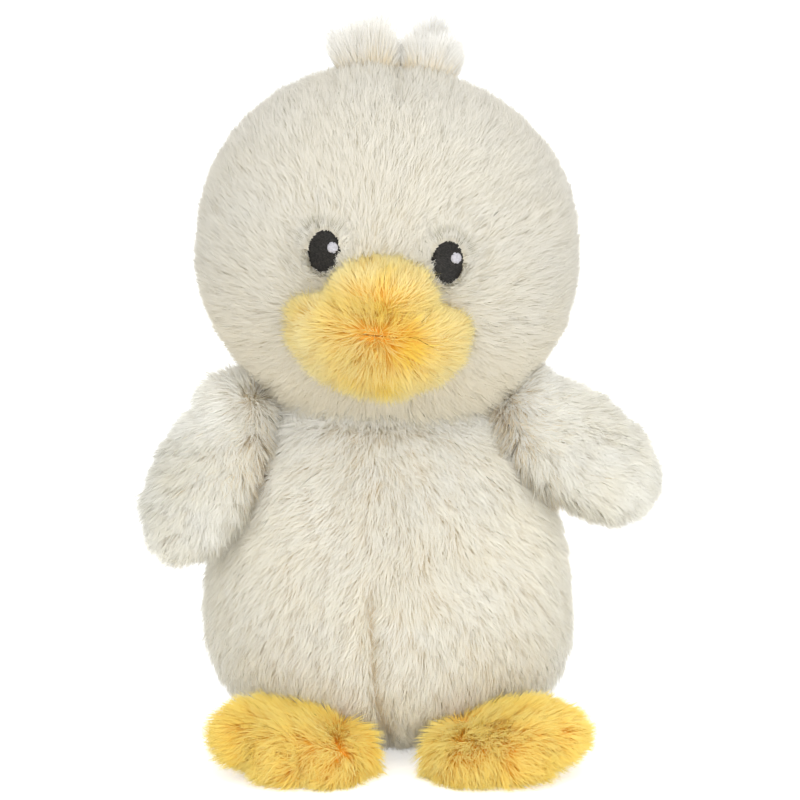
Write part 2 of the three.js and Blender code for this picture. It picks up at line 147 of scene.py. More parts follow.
surround = Finish(bpy.data.worlds.new("surround"))
bpy.context.scene.world = surround.owner
surround_lit, surround_seen = (
    surround.node("ShaderNodeBackground", {"Color": (1, 1, 1, 1), "Strength": strength})
    for strength in (SURROUND_LIGHT, SURROUND_SEEN))
surround.end(surround.node("ShaderNodeMixShader", {
    0: seen_directly(surround), 1: surround_lit, 2: surround_seen}), "ShaderNodeOutputWorld")

floor_finish = material("pale_floor")
floor_lit = floor_finish.node("ShaderNodeBsdfDiffuse", {"Color": FLOOR_COLOUR})
floor_glow = floor_finish.node("ShaderNodeEmission", {"Strength": FLOOR_GLOW})
floor_seen = floor_finish.node("ShaderNodeAddShader", {0: floor_lit, 1: floor_glow})
floor_finish.end(floor_finish.node("ShaderNodeMixShader", {
    0: seen_directly(floor_finish), 1: floor_lit, 2: floor_seen}))
floor_mesh = bpy.data.meshes.new("floor")
edge = FLOOR_SIZE / 2
floor_mesh.from_pydata([(-edge, -edge, 0), (edge, -edge, 0), (edge, edge, 0), (-edge, edge, 0)],
                       [], [(0, 1, 2, 3)])
floor_mesh.materials.append(floor_finish.owner)
floor = placed("floor", floor_mesh)

for name, lamp in LAMPS.items():
    light = bpy.data.lights.new(name, "AREA")
    light.shape, light.size, light.energy = "DISK", lamp["size"], lamp["watts"]
    stand = placed(name, light)
    stand.location = lamp["at"]
    stand.rotation_euler = (Vector(lamp["at"]) - head_pivot).to_track_quat("Z", "Y").to_euler()
bpy.context.scene.view_settings.view_transform = "Standard"

# Body: a pear of cream cloth with a pile of about ten millimetres, stuffed with fibre, widest low down.
# The cloth lies under the pile, which is combed down and outwards and parts along the front seam.
# Its solids' outline is that of the pressed pile, so the cloth is drawn in by the depth of the pile.
BODY = {"side": 0.0625, "front": 0.051, "back": 0.047, "up": 0.087, "down": 0.041,
        "square": 2.0, "below": 2.4, "pole": 2}
BODY_FROM_HEAD = (0, 0.004, -0.1225)
HEAD = {"side": 0.0625, "front": 0.055, "back": 0.055, "up": 0.061, "down": 0.055,
        "square": 2.2, "below": 2.2, "pole": 0}
PILE_DEPTH = 0.0054
CUP_DEPTH = 0.0025  # the depth of the pile in the cup under the head
HEAD_GAP = 0.0035  # how deep in the head's pile the cup lies
SOLE = 0.0012  # how far above the floor the pressed cloth lies
SOLE_LIFT = 0.0036
SEAM = {"top": 0.0625, "bottom": 0.012, "aside": -0.0048, "bend": 0.0046, "half_width": 0.0030,
        "depth": 0.005}
WING_LINES = (  # down the middle of each wing, beside which the body's pile is longer, and darker as painted shade
    ((0.0445, -0.0110, 0.0715), (0.0859, -0.0229, 0.0389)),
    ((-0.0490, -0.0120, 0.0715), (-0.0709, -0.0289, 0.0251)),
)
CLOSING = {"length": 0.044, "drop": 0.006, "groove": 0.0022, "groove_width": 0.005, "ridge_width": 0.0085,
           "parting": 0.0022}
CHEST_CREASE = ((-0.0388, -0.0171, 0.0615), (-0.0270, -0.0306, 0.0575), (-0.0156, -0.0379, 0.0539))
CHEST_CREASE_DEPTH = 0.0016
FOLDS = {  # where each wing lies against the body, and the pile is coloured brown there as painted shade
    "left": ((0.0325, -0.0053, 0.0737), (0.0384, -0.0094, 0.0667), (0.0467, -0.0090, 0.0556),
             (0.0525, -0.0090, 0.0460)),
    "right": ((-0.0369, -0.0043, 0.0698), (-0.0417, -0.0094, 0.0627), (-0.0427, -0.0197, 0.0536)),
}
FOLD_WIDTH = 0.0075
CREAM_TIPS = ((0.955, 0.922, 0.80, 1), (0.982, 0.978, 0.940, 1))
CREAM_ROOTS = ((0.90, 0.79, 0.585, 1), (0.96, 0.92, 0.81, 1))
CREAM_CLOTH = ((0.83, 0.70, 0.50, 1), (0.90, 0.81, 0.64, 1))


class Place:
    """An origin and a turn. `out` takes own points to the toy's frame, and `into` brings them back."""

    def __init__(self, origin, turn=np.eye(3)):
        self.origin, self.turn = np.array(origin, float), turn

    def out(self, points):
        return points @ self.turn.T + self.origin

    def into(self, points):
        return (points - self.origin) @ self.turn

    def aimed(self, vectors):
        return np.asarray(vectors) @ self.turn.T


def vectors(x, y, z):
    """Vectors from their three parts. Each part is one number, or one for every vector."""
    return np.stack(np.broadcast_arrays(x, y, z), -1)


def unit(points):
    return points / np.maximum(np.linalg.norm(points, axis=-1, keepdims=True), 1e-9)


def smooth(low, high, value):
    """0 below `low` and 1 above `high`, with a smooth rise between them."""
    share = np.clip((value - low) / (high - low), 0, 1)
    return share * share * (3 - 2 * share)


def directions(rings, around):
    """Unit vectors in rings from the top pole to the bottom one."""
    fall = np.linspace(0, math.pi, rings)[:, None]
    turn = np.linspace(0, 2 * math.pi, around, endpoint=False)[None, :]
    return vectors(np.sin(fall) * np.cos(turn), np.sin(fall) * np.sin(turn), np.cos(fall))


def reaches(size, points, inset):
    """How far a stuffed form reaches on each point's side of its middle, along each axis. `inset` draws it
    in by as much all round, as from the tips of the pile to the cloth."""
    return vectors(
        size["side"],
        np.where(points[..., 1] < 0, size["front"], size["back"]),
        np.where(points[..., 2] < 0, size["down"], size["up"]),
    ) - inset


def fullness(size, points, inset=0.0):
    """The p-th root of (distance along the pole)^p + (distance across it)^p, each as a share of the form's
    reach: 1 on the form and less inside it. With p = 2 the form is an ellipsoid, with p = 4 nearly a drum."""
    share = points / reaches(size, points, inset)
    power = np.where(points[..., 2] < 0, size["below"], size["square"])
    along = np.abs(share[..., size["pole"]])
    across = np.sqrt(np.maximum(0, (share**2).sum(-1) - along**2))
    return (along**power + across**power) ** (1 / power)


def stuffed(size, rays, inset=0.0):
    """The points of a stuffed form along rays from its middle."""
    stretched = rays * reaches(size, rays, inset)
    return stretched / fullness(size, stretched, inset)[..., None]


def near_form(size, place, points, gone):
    """1 on a form, down to 0 at `gone` times its size."""
    return 1 - smooth(1.0, gone, fullness(size, place.into(points)))


def kept_out(points, middle, buried):
    """Draws buried points straight towards the form's middle until they are clear, by halving the way."""
    low, high = np.zeros(points.shape[:-1]), np.ones(points.shape[:-1])
    inside = buried(points)
    for _ in range(18):
        share = (low + high) / 2
        bad = buried(middle + (points - middle) * share[..., None])
        high, low = np.where(bad, share, high), np.where(bad, low, share)
    return np.where(inside[..., None], middle + (points - middle) * low[..., None], points)


def normals_of(grid):
    """Outward normals of a grid of rings: the way down the rings crossed with the way round them."""
    round_it = np.roll(grid, -1, axis=1) - np.roll(grid, 1, axis=1)
    normals = np.cross(np.gradient(grid, axis=0), round_it)
    normals[0], normals[-1] = normals[1].mean(0), normals[-2].mean(0)
    return unit(normals)


def piece_of(name, points, faces, finish, body, slot, *nodes):
    """A smooth mesh that rides a body, from its points and its arrays of faces, each array with one number of
    corners. It stands for the solids in `nodes`, if there are any."""
    mesh = bpy.data.meshes.new(name)
    corners = np.concatenate([array.ravel() for array in faces])
    sizes = np.concatenate([np.full(len(array), array.shape[1]) for array in faces])
    mesh.vertices.add(len(points))
    mesh.loops.add(len(corners))
    mesh.polygons.add(len(sizes))
    mesh.vertices.foreach_set("co", points.astype(np.float32).ravel())
    mesh.loops.foreach_set("vertex_index", corners.astype(np.int32))
    mesh.polygons.foreach_set("loop_start", np.concatenate([[0], np.cumsum(sizes)[:-1]]).astype(np.int32))
    mesh.polygons.foreach_set("use_smooth", np.ones(len(sizes), bool))
    mesh.update(calc_edges=True)
    mesh.materials.append(finish)
    piece = placed(name, mesh)
    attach(piece, body)
    if nodes:
        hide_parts(*nodes)
    return piece


def cloth_finish(name, colours):
    """Backing cloth with the roots of its pile: blotches of two tones and a fine fibrous bump."""
    finish = material(name)
    blotches = finish.mixed(finish.noise(220.0, 3.0), colours)
    return finish.bumpy(blotches, finish.noise(2200.0, 2.0), 0.6, 0.0006, {"Roughness": 0.95})


def cloth(name, grid, finish, body, slot, fill, *nodes):
    """A stuffed form of cloth over a grid of rings, whose first and last ring are one point each."""
    rings, around = grid.shape[:2]
    points = np.concatenate([grid[0, :1], grid[1:-1].reshape(-1, 3), grid[-1, :1]])
    here = 1 + np.arange((rings - 2) * around).reshape(rings - 2, around)
    after = np.roll(here, -1, axis=1)
    quads = np.stack([here[:-1], here[1:], after[1:], after[:-1]], -1).reshape(-1, 4)
    top = vectors(0, here[0], after[0])
    bottom = vectors(here[-1], len(points) - 1, after[-1])
    piece_of(name, points, (quads, top, bottom), finish, body, slot, *nodes)


PILE_MAP = "OFBake"
PILE_THROUGH = 0.5  # the share of the light that passes through the fibres
STRAND_STEPS = np.array([0, 0.55, 1.0])  # where a strand's cross-sections lie along it
STRAND_TAPER = np.array([1.0, 0.8])  # its width there, as a share of the width at the root
STRAND_FACES = (np.array([[0, 1, 3, 2]]), np.array([[2, 3, 4]]))
STRAND_SWAY = math.radians(22)  # how far strands turn aside together, from one centimetre to the next
STRAND_TWIST = 0.7  # how far a ribbon is rolled about its own line, in radians
STRAND_RISE = {"clump": 14, "strand": 6, "patch": 9}  # how much clumps, strands and patches lean differently
STRAND_TONE = {"clump": 0.24, "strand": 0.07, "patch": 0.24, "speck": 0.12}  # and how much their tones differ
SOFTNESS = 0.8  # how far a strand's shading follows the whole coat rather than the single strand
FLOOR_CLEARANCE = 0.0003
FEWER = 1


def pile_finish(name, roots, tips):
    """Pile fibres. The UV map runs from root to tip one way and from the darker to the lighter fibres the
    other way."""
    finish = material(name)
    place = finish.node("ShaderNodeUVMap", settings={"uv_map": PILE_MAP})
    tone, along = (finish.node("ShaderNodeSeparateXYZ", {0: place}, out=part) for part in (0, 1))
    rise = finish.node("ShaderNodeMapRange", {"Value": along, "From Min": 0.05, "From Max": 0.75},
                       {"interpolation_type": "SMOOTHSTEP"})
    colour = finish.mixed(rise, (finish.mixed(tone, roots), finish.mixed(tone, tips)))
    surface = finish.node("ShaderNodeBsdfPrincipled", {
        "Base Color": colour, "Roughness": 0.8, "Specular IOR Level": 0.2})
    through = finish.node("ShaderNodeBsdfTranslucent", {"Color": colour})
    return finish.end(finish.node("ShaderNodeMixShader", {0: PILE_THROUGH, 1: surface, 2: through}))


def scattered(grid, place, count, seed, growing):
    """Roots spread evenly over a grid: cells drawn by their area, and a place in each. `growing` picks from
    them by their places in the toy's frame and their own. Returns the roots, their normals and own places."""
    chance = np.random.default_rng(seed)
    count //= FEWER
    after = np.roll(grid, -1, axis=1)
    corners = (grid[:-1], grid[1:], after[:-1], after[1:])
    area = np.linalg.norm(np.cross(corners[1] - corners[0], corners[2] - corners[0]), axis=-1)
    area += np.linalg.norm(np.cross(corners[1] - corners[3], corners[2] - corners[3]), axis=-1)
    row, column = np.divmod(chance.choice(area.size, count, p=area.ravel() / area.sum()), grid.shape[1])
    down, aside = chance.random((2, count, 1))
    after = (column + 1) % grid.shape[1]

    def between(values):
        upper = values[row, column] * (1 - aside) + values[row, after] * aside
        lower = values[row + 1, column] * (1 - aside) + values[row + 1, after] * aside
        return upper * (1 - down) + lower * down

    roots = between(grid)
    local = place.into(roots)
    keep = growing(roots, local)
    return roots[keep], unit(between(normals_of(grid)))[keep], local[keep]


def shuffled(cells, salt):
    """A number from 0 to 1 for each cell of a lattice, mixed from its whole-number place."""
    mixed = (cells.astype(np.int64) * np.array([73856093, 19349663, 83492791])).sum(-1) + salt * 2654435761
    mixed = (mixed ^ (mixed >> 13)) * 1274126177 & 0xFFFFFFFF
    mixed = (mixed ^ (mixed >> 16)) * 2246822519 & 0xFFFFFFFF
    return ((mixed ^ (mixed >> 15)) & 0xFFFFFF) / 0x1000000


def clumped(points, size):
    """Each point's nearest clump, among the points of a lattice that are each moved at random within their
    cell. Returns the clumps' places and their cells."""
    home = np.floor(points / size)
    best = np.full(len(points), np.inf)
    place, cell = np.zeros_like(points), np.zeros_like(points)
    for step in itertools.product((-1, 0, 1), repeat=3):
        near = home + step
        middle = (near + vectors(*(shuffled(near, salt) for salt in (1, 2, 3)))) * size
        gap = ((points - middle) ** 2).sum(-1)
        closer = gap < best
        best = np.where(closer, gap, best)
        place, cell = np.where(closer[:, None], middle, place), np.where(closer[:, None], near, cell)
    return place, cell


def drift(points, size, salt):
    """A random number from -1 to 1 that changes smoothly over about `size`: the corners of a lattice have
    numbers of their own, and those of the eight corners round a point are blended."""
    home = np.floor(points / size)
    share = smooth(0, 1, points / size - home)
    total = np.zeros(len(points))
    for corner in itertools.product((0, 1), repeat=3):
        weight = np.where(corner, share, 1 - share).prod(-1)
        total += weight * (2 * shuffled(home + corner, salt) - 1)
    return total


def beside(points, line, width):
    """Nearness to a line with corners, 1 on it and fading out over `width`, and the way straight off it."""
    best, off = np.full(points.shape[:-1], np.inf), np.zeros(points.shape)
    for start, end in zip(np.array(line), np.array(line)[1:]):
        run = end - start
        share = np.clip(((points - start) @ run) / (run @ run), 0, 1)
        away = points - start - share[..., None] * run
        gap = np.linalg.norm(away, axis=-1)
        best, off = np.minimum(gap, best), np.where((gap < best)[..., None], away, off)
    return np.exp(-((best / width) ** 2)), unit(off)


def pile(name, roots, normals, comb, finish, body, slot, length, width, lean, tone, clump, pull, stray, seed,
         uneven=0.36, vary=1.0, facing=None):
    """Strands of pile as thin ribbons. A strand leaves its root `lean[0]` degrees from the normal, along the
    comb, and bends to `lean[1]` at its tip. Its tip is drawn towards the middle of its clump, and it turns
    aside by `stray` degrees or so. `tone` is from 0, dark, to 1, light, and `vary` is how much it and the
    lean differ from clump to clump. `facing` is which way the coat faces, where that isn't straight out."""
    chance = np.random.default_rng(seed)
    count = len(roots)
    middle, cell = clumped(roots, clump)
    lay = comb - (comb * normals).sum(-1, keepdims=True) * normals
    lay = unit(lay + 1e-6)
    across = np.cross(normals, lay)
    clump_turn = (shuffled(cell, 7) - 0.5)[:, None] * math.radians(2 * stray)
    sway = (drift(roots, 0.015, 21) + 0.6 * drift(roots, 0.007, 22))[:, None] * STRAND_SWAY
    turn = chance.normal(0, math.radians(stray), (count, 1)) + clump_turn + sway
    lay = lay * np.cos(turn) + across * np.sin(turn)
    lift = (shuffled(cell, 11) - 0.5) * STRAND_RISE["clump"] + chance.normal(0, STRAND_RISE["strand"], count)
    lift = (lift + STRAND_RISE["patch"] * drift(roots, 0.011, 23)) * vary
    start, end = (np.radians(np.clip(angle + lift, 2, 88))[:, None] for angle in lean)
    leaving = normals * np.cos(start) + lay * np.sin(start)
    bent = normals * np.cos(end) + lay * np.sin(end)
    reach = length * (1 - uneven / 2 + uneven * chance.random(count)) * (0.88 + 0.24 * shuffled(cell, 5))
    reach = reach[:, None, None]
    step = STRAND_STEPS[None, :, None]
    line = roots[:, None] + reach * (leaving[:, None] * step + (bent - leaving)[:, None] * step**2 / 2)
    inwards = middle - roots
    inwards -= (inwards * normals).sum(-1, keepdims=True) * normals
    line += (inwards * pull)[:, None] * step**1.6
    twist = chance.normal(0, STRAND_TWIST, (count, 1))
    coat = normals if facing is None else facing
    flat = unit(np.cross(bent + leaving, coat))
    flat = flat * np.cos(twist) + np.cross(unit(bent + leaving), flat) * np.sin(twist)
    half = width * (0.7 + 0.6 * chance.random(count))[:, None, None] / 2 * STRAND_TAPER[None, :, None]
    edges = np.stack([line[:, :2] - flat[:, None] * half, line[:, :2] + flat[:, None] * half], 2)
    points = np.concatenate([edges.reshape(count, 4, 3), line[:, 2:]], 1)
    points[..., 2] = np.maximum(points[..., 2], FLOOR_CLEARANCE)
    first = 5 * np.arange(count)[:, None, None]
    faces = [(first + corners).reshape(-1, corners.shape[1]) for corners in STRAND_FACES]
    piece = piece_of(name, points.reshape(-1, 3), faces, finish, body, slot)
    shade = STRAND_TONE["clump"] * (shuffled(cell, 9) - 0.5) + chance.normal(0, STRAND_TONE["strand"], count)
    shade += STRAND_TONE["patch"] * drift(roots, 0.012, 24)
    shade += STRAND_TONE["speck"] * drift(roots, 0.005, 25)
    shade = np.clip(tone + vary * shade, 0.03, 0.96)[:, None]
    edge = np.array([0, 1, 0, 1, 0.5]) * 0.004
    steps = np.repeat(STRAND_STEPS, (2, 2, 1)) * 0.96 + 0.02
    uv = np.stack(np.broadcast_arrays(shade + edge, steps), -1).reshape(-1, 2)
    layer = piece.data.uv_layers.new(name=PILE_MAP)
    uv = uv[np.concatenate([array.ravel() for array in faces])]
    layer.data.foreach_set("uv", uv.astype(np.float32).ravel())
    shading = unit(coat * SOFTNESS + np.cross(flat, unit(leaving + bent)) * (1 - SOFTNESS))
    piece.data.attributes.new("custom_normal", "FLOAT_VECTOR", "POINT").data.foreach_set(
        "vector", np.repeat(shading, 5, axis=0).astype(np.float32).ravel())


body_place = Place(np.array(head_pivot) + BODY_FROM_HEAD)
nod_axis = np.array(joints["head_nod"]["axis"])
head_place = Place(head_pivot, np.stack([nod_axis, (0, 1, 0), np.cross(nod_axis, (0, 1, 0))], -1))


def in_head(points, inset):
    return fullness(HEAD, head_place.into(points), inset) < 1


def in_body(points, inset):
    return fullness(BODY, body_place.into(points), inset) < 1


def seam_aside(points):
    """How far points lie aside from the front seam, which bends as it falls."""
    fall = np.clip((SEAM["top"] - points[..., 2]) / (SEAM["top"] - SEAM["bottom"]), 0, 1)
    return points[..., 0] - body_place.origin[0] - SEAM["aside"] - SEAM["bend"] * fall**3


def seam_strength(points):
    """1 in the slit of the front seam, and less towards its ends and sides."""
    along = smooth(SEAM["bottom"] - 0.006, SEAM["bottom"] + 0.004, points[..., 2])
    along *= 1 - smooth(SEAM["top"] - 0.012, SEAM["top"] + 0.004, points[..., 2])
    near = np.exp(-((seam_aside(points) / SEAM["half_width"]) ** 2))
    return along * near * (points[..., 1] < body_place.origin[1])


def closing_strength(points, width):
    """1 on the seam in the back through which the toy is filled. Points are the body's own."""
    away = np.abs(points[..., 2] + CLOSING["drop"]) - CLOSING["length"] / 2
    near = np.exp(-((points[..., 0] / width) ** 2)) * (1 - smooth(-0.002, 0.004, away))
    return near * (points[..., 1] > 0)


def fold_strength(points):
    """1 in the folds beside the wings, fading out. Points are the body's own."""
    return np.maximum(*(beside(points, line, FOLD_WIDTH)[0] for line in FOLDS.values()))


def body_grid(rings, around):
    rays = directions(rings, around)
    whole = stuffed(BODY, rays)
    cup = smooth(0.74, 0.95, rays[..., 2:])
    ridge = closing_strength(whole, CLOSING["ridge_width"])[..., None]
    grid = stuffed(BODY, rays, PILE_DEPTH) * (1 - cup) + stuffed(BODY, rays, CUP_DEPTH) * cup
    grid = grid * (1 - ridge) + whole * ridge
    grid[..., 1] -= CLOSING["groove"] * closing_strength(whole, CLOSING["groove_width"])
    grid = body_place.out(grid)
    grid[..., 1] += SEAM["depth"] * seam_strength(grid)
    creased, _ = beside(body_place.into(grid), CHEST_CREASE, 0.0045)
    grid[..., 1] += CHEST_CREASE_DEPTH * creased
    grid = kept_out(grid, body_place.origin, lambda points: in_head(points, HEAD_GAP))
    grid[..., 2] = np.maximum(grid[..., 2] - SOLE_LIFT * (rays[..., 2] < 0) * rays[..., 2] ** 2, SOLE)
    return grid


cream_cloth = cloth_finish("cream_backing_cloth", CREAM_CLOTH)
cream_pile = pile_finish("cream_pile", CREAM_ROOTS, CREAM_TIPS)
body_cloth_grid = body_grid(110, 180)
cloth("body_cloth", body_cloth_grid, cream_cloth, "main", "cream_pile", 0.8, "body_cover", "body_filling")

BODY_LAYERS = {
    "body_under_pile": {"count": 54000, "length": 0.0074, "width": 0.00034, "lean": (38, 68), "pull": 0.26},
    "body_pile": {"count": 60000, "length": 0.0088, "width": 0.00026, "lean": (42, 76), "pull": 0.36},
    "body_tips": {"count": 60000, "length": 0.0100, "width": 0.00021, "lean": (44, 80), "pull": 0.42},
}
for seed, (name, layer) in enumerate(BODY_LAYERS.items(), 10):
    roots, normals, local = scattered(
        body_cloth_grid, body_place, layer["count"], seed, lambda roots, local:
        ~in_head(roots, CUP_DEPTH) & (seam_strength(roots) < 0.55) & (fold_strength(local) < 0.55)
        & (closing_strength(local, CLOSING["parting"]) < 0.62))
    closing = closing_strength(local, CLOSING["parting"])
    creased, off = beside(local, CHEST_CREASE, 0.004)
    at_wings = [beside(local, line, 0.024)[0] for line in WING_LINES]
    at_wing = np.maximum(*at_wings)
    at_neck = near_form(HEAD, head_place, roots, 1.16)
    comb = vectors(0.55 * np.tanh(local[:, 0] / 0.02) * smooth(-0.02, 0.03, local[:, 2]), 0, -1.0)
    comb[:, 0] += 1.2 * np.sign(seam_aside(roots)) * seam_strength(roots)
    comb[:, 0] += 1.1 * np.sign(local[:, 0]) * closing
    mixed = shuffled(np.floor(roots / 0.0012), 31)
    comb[:, 2] += 2.2 * (mixed < 0.75 * smooth(0.0, 0.9, at_neck))
    comb += 1.2 * creased[:, None] * off * (1, 1, 0.2)
    length = layer["length"] * (1 + 0.3 * at_wing + 0.3 * at_neck)
    lean = [angle - 14 * at_neck - 8 * at_wing for angle in layer["lean"]]
    # Painted shade and light in the tone: darker in the chest crease, in the front seam and beside the wings,
    # where shade falls, and lighter near the neck and over the upper body, against the shadow of the head.
    tone = 0.62 - 0.3 * creased - 0.32 * seam_strength(roots) + 0.26 * at_neck
    tone += 0.2 * smooth(0.03, 0.06, local[:, 2])
    tone -= 0.7 * at_wings[0]**1.5 + 0.3 * at_wings[1]**1.5
    coat = unit(normals + smooth(0.0, 0.045, local[:, 2:]) * (0, -1.0, 0))
    pile(name, roots, normals, comb, cream_pile, "main", "cream_pile", length, layer["width"], lean, tone,
         clump=0.0038, pull=layer["pull"], stray=16, vary=0.5, facing=coat, seed=seed)

# The collar under the chin stands up into the pile of the head, so that no bare line shows between the two.
COLLAR = {"count": 220000, "near": 0.97, "far": 1.12, "length": 0.0084, "width": 0.00024, "lean": (16, 52)}
COLLAR_SEED = 14


def in_collar(roots, local):
    close = fullness(HEAD, head_place.into(roots))
    far = COLLAR["far"] + 0.07 * smooth(0.018, 0.030, np.abs(local[:, 0]))
    return ((close > COLLAR["near"]) & (close < far) & (roots[:, 1] < body_place.origin[1] + 0.012)
            & ~in_head(roots, CUP_DEPTH) & (fold_strength(local) < 0.4))


roots, normals, local = scattered(body_cloth_grid, body_place, COLLAR["count"], COLLAR_SEED, in_collar)
upwards = np.where(shuffled(np.floor(roots / 0.0009), 33) < 0.6, 1.0, -1.0)
comb = vectors(0.4 * np.tanh(local[:, 0] / 0.02), -0.3, upwards)
# Its light tone is painted light in the shade under the chin.
pile("collar_pile", roots, normals, comb, cream_pile, "main", "cream_pile", COLLAR["length"], COLLAR["width"],
     COLLAR["lean"], 0.8, clump=0.003, pull=0.25, stray=24, vary=0.4, facing=unit(normals + (0, -1.0, 0.3)),
     seed=COLLAR_SEED)

# The folds beside the wings: longer strands that run down into them, coloured brown as painted shade.
FOLD_SHADE_TIPS = ((0.70, 0.57, 0.38, 1), (0.89, 0.81, 0.64, 1))
FOLD_SHADE_ROOTS = ((0.46, 0.31, 0.17, 1), (0.66, 0.51, 0.32, 1))
FOLD_COUNT = 200000  # over the whole body, of which only those in the folds are kept
FOLD_SEED = 15
fold_shade_finish = pile_finish("fold_pile", FOLD_SHADE_ROOTS, FOLD_SHADE_TIPS)
roots, normals, local = scattered(body_cloth_grid, body_place, FOLD_COUNT, FOLD_SEED, lambda roots, local:
                                  (fold_strength(local) > 0.42) & ~in_head(roots, CUP_DEPTH))
comb = vectors(0.7 * np.sign(local[:, 0]), -0.4, -1.0)
pile("fold_pile", roots, normals, comb, fold_shade_finish, "main", "cream_pile", length=0.0092, width=0.00024,
     lean=(30, 62), tone=0.5, clump=0.003, pull=0.3, stray=16, seed=FOLD_SEED)

# Closing seam: after filling, the gap in the back is drawn shut by hand with one cream thread, in a zigzag of
# ladder stitches that dip into the cloth on either side. The pile is parted there.
THREAD = {"radius": 0.0005, "stitches": 9, "across": 0.0032, "above": 0.0006, "dip": 0.0012}
THREAD_SIDES = 6
THREAD_FLAT = 1.15  # a thread's width, as a share of its height
CREAM_THREAD = ((0.62, 0.55, 0.40, 1), (0.80, 0.75, 0.61, 1))


def thread_finish(name, colours, roughness, shine=0.18):
    """Twisted thread: fine bumps across it, worn lighter in places, and a soft shine."""
    finish = material(name)
    worn = finish.node("ShaderNodeMapRange", {
        "Value": finish.noise(1700.0, 3.0), "From Min": 0.4, "From Max": 0.75})
    return finish.bumpy(finish.mixed(worn, colours), finish.noise(5200.0, 1.0), 0.5, 0.0001,
                        {"Roughness": roughness, "Specular IOR Level": shine})


def threads(name, place, lines, outward, radius, finish, body, slot, node):
    """Threads with closed ends along rows of points. Round each point lies a ring: the radius times an
    angle's cosine, beside the line, and times its sine, outwards."""
    rows, steps = lines.shape[:2]
    along = unit(np.gradient(lines, axis=1))
    aside = unit(np.cross(along, outward))
    outward = np.cross(aside, along)
    angle = np.linspace(0, 2 * math.pi, THREAD_SIDES, endpoint=False)[None, None, :, None]
    tube = lines[:, :, None] + radius * (aside[:, :, None] * np.cos(angle) * THREAD_FLAT
                                         + outward[:, :, None] * np.sin(angle))
    points = np.concatenate([tube.reshape(rows, -1, 3), lines[:, [0, -1]]], 1)
    start = steps * THREAD_SIDES
    here = np.arange(start).reshape(steps, THREAD_SIDES)
    after = np.roll(here, -1, axis=1)
    quads = np.stack([here[:-1], after[:-1], after[1:], here[1:]], -1).reshape(-1, 4)
    caps = np.concatenate([vectors(start, after[0], here[0]), vectors(start + 1, here[-1], after[-1])])
    first = (start + 2) * np.arange(rows)[:, None, None]
    faces = ((first + quads).reshape(-1, 4), (first + caps).reshape(-1, 3))
    piece_of(name, place.out(points.reshape(-1, 3)), faces, finish, body, slot, node)


def back_of_body(height):
    """How far behind its middle the back lies at each height: the root of 1 less the height's share."""
    up = height >= 0
    power = np.where(up, BODY["square"], BODY["below"])
    share = np.abs(height) / np.where(up, BODY["up"], BODY["down"])
    return BODY["back"] * (1 - share**power) ** (1 / power)


step = np.linspace(0, THREAD["stitches"], 40 * THREAD["stitches"] + 1)
aside = -THREAD["across"] / 2 * np.cos(math.pi * step)
height = CLOSING["length"] * (step / THREAD["stitches"] - 0.5) * (1 - 1 / THREAD["stitches"])
height -= CLOSING["drop"]
zigzag = vectors(aside, back_of_body(height), height)
zigzag[:, 1] -= CLOSING["groove"] * closing_strength(zigzag, CLOSING["groove_width"])
zigzag[:, 1] += THREAD["above"] - THREAD["dip"] * np.abs(np.cos(math.pi * step)) ** 10
threads("ladder_stitches", body_place, zigzag[None], (0, 1, 0), THREAD["radius"],
        thread_finish("cream_thread", CREAM_THREAD, 0.5), "main", "cream_thread", "closing_thread")

# Squeaker: a milky blow-moulded bulb with a white whistle in its mouth, in a pouch of plain woven cotton. It
# lies in the middle of the belly's fibre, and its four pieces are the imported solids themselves.
YARN = 0.0006  # from one yarn of the weave to the next
BANDS = 0.314  # the scale of bands that are one metre apart
CALICO = ((0.72, 0.66, 0.53, 1), (0.86, 0.81, 0.69, 1))
MILKY = ((0.68, 0.72, 0.73, 1), (0.77, 0.80, 0.80, 1))
WHITE = ((0.83, 0.83, 0.82, 1), (0.88, 0.88, 0.87, 1))
REED_WHITE = ((0.80, 0.80, 0.78, 1), (0.87, 0.87, 0.85, 1))


def woven_finish(name, colours):
    """Plain weave: two sets of bands a yarn apart, warped a little, whose product gives the crossings."""
    finish = material(name)
    bands = [finish.node("ShaderNodeTexWave", {
        "Vector": finish.own_place(), "Scale": BANDS / YARN, "Distortion": 0.8,
        "Detail": 1.0, "Detail Scale": 2.0,
    }, {"bands_direction": direction}, out="Fac") for direction in ("X", "Z")]
    slub = finish.noise(900.0, 2.0)
    weave = finish.math("ADD", finish.math("MULTIPLY", *bands), slub)
    return finish.bumpy(finish.mixed(slub, colours), weave, 0.6, 0.0002, {"Roughness": 0.9})


def moulded_finish(name, colours, roughness, through, grain):
    """Moulded plastic with faint flow marks and a fine grain. Some light scatters inside a milky wall."""
    finish = material(name)
    flow = finish.mixed(finish.noise(160.0, 2.0), colours)
    return finish.bumpy(flow, finish.noise(grain, 2.0), 0.25, 0.0001, {
        "Roughness": roughness, "Subsurface Weight": through, "Subsurface Scale": 0.002})


SQUEAKER_FINISHES = {
    "squeaker_pouch": woven_finish("calico", CALICO),
    "squeaker_bulb": moulded_finish("milky_plastic", MILKY, roughness=0.38, through=0.3, grain=1500.0),
    "whistle_tube": moulded_finish("white_plastic", WHITE, roughness=0.3, through=0.0, grain=2600.0),
    "whistle_reed": moulded_finish("reed_plastic", REED_WHITE, roughness=0.25, through=0.0, grain=3400.0),
}
for node, finish in SQUEAKER_FINISHES.items():
    mesh = bpy.data.objects[node].data
    mesh.materials.clear()
    mesh.materials.append(finish)

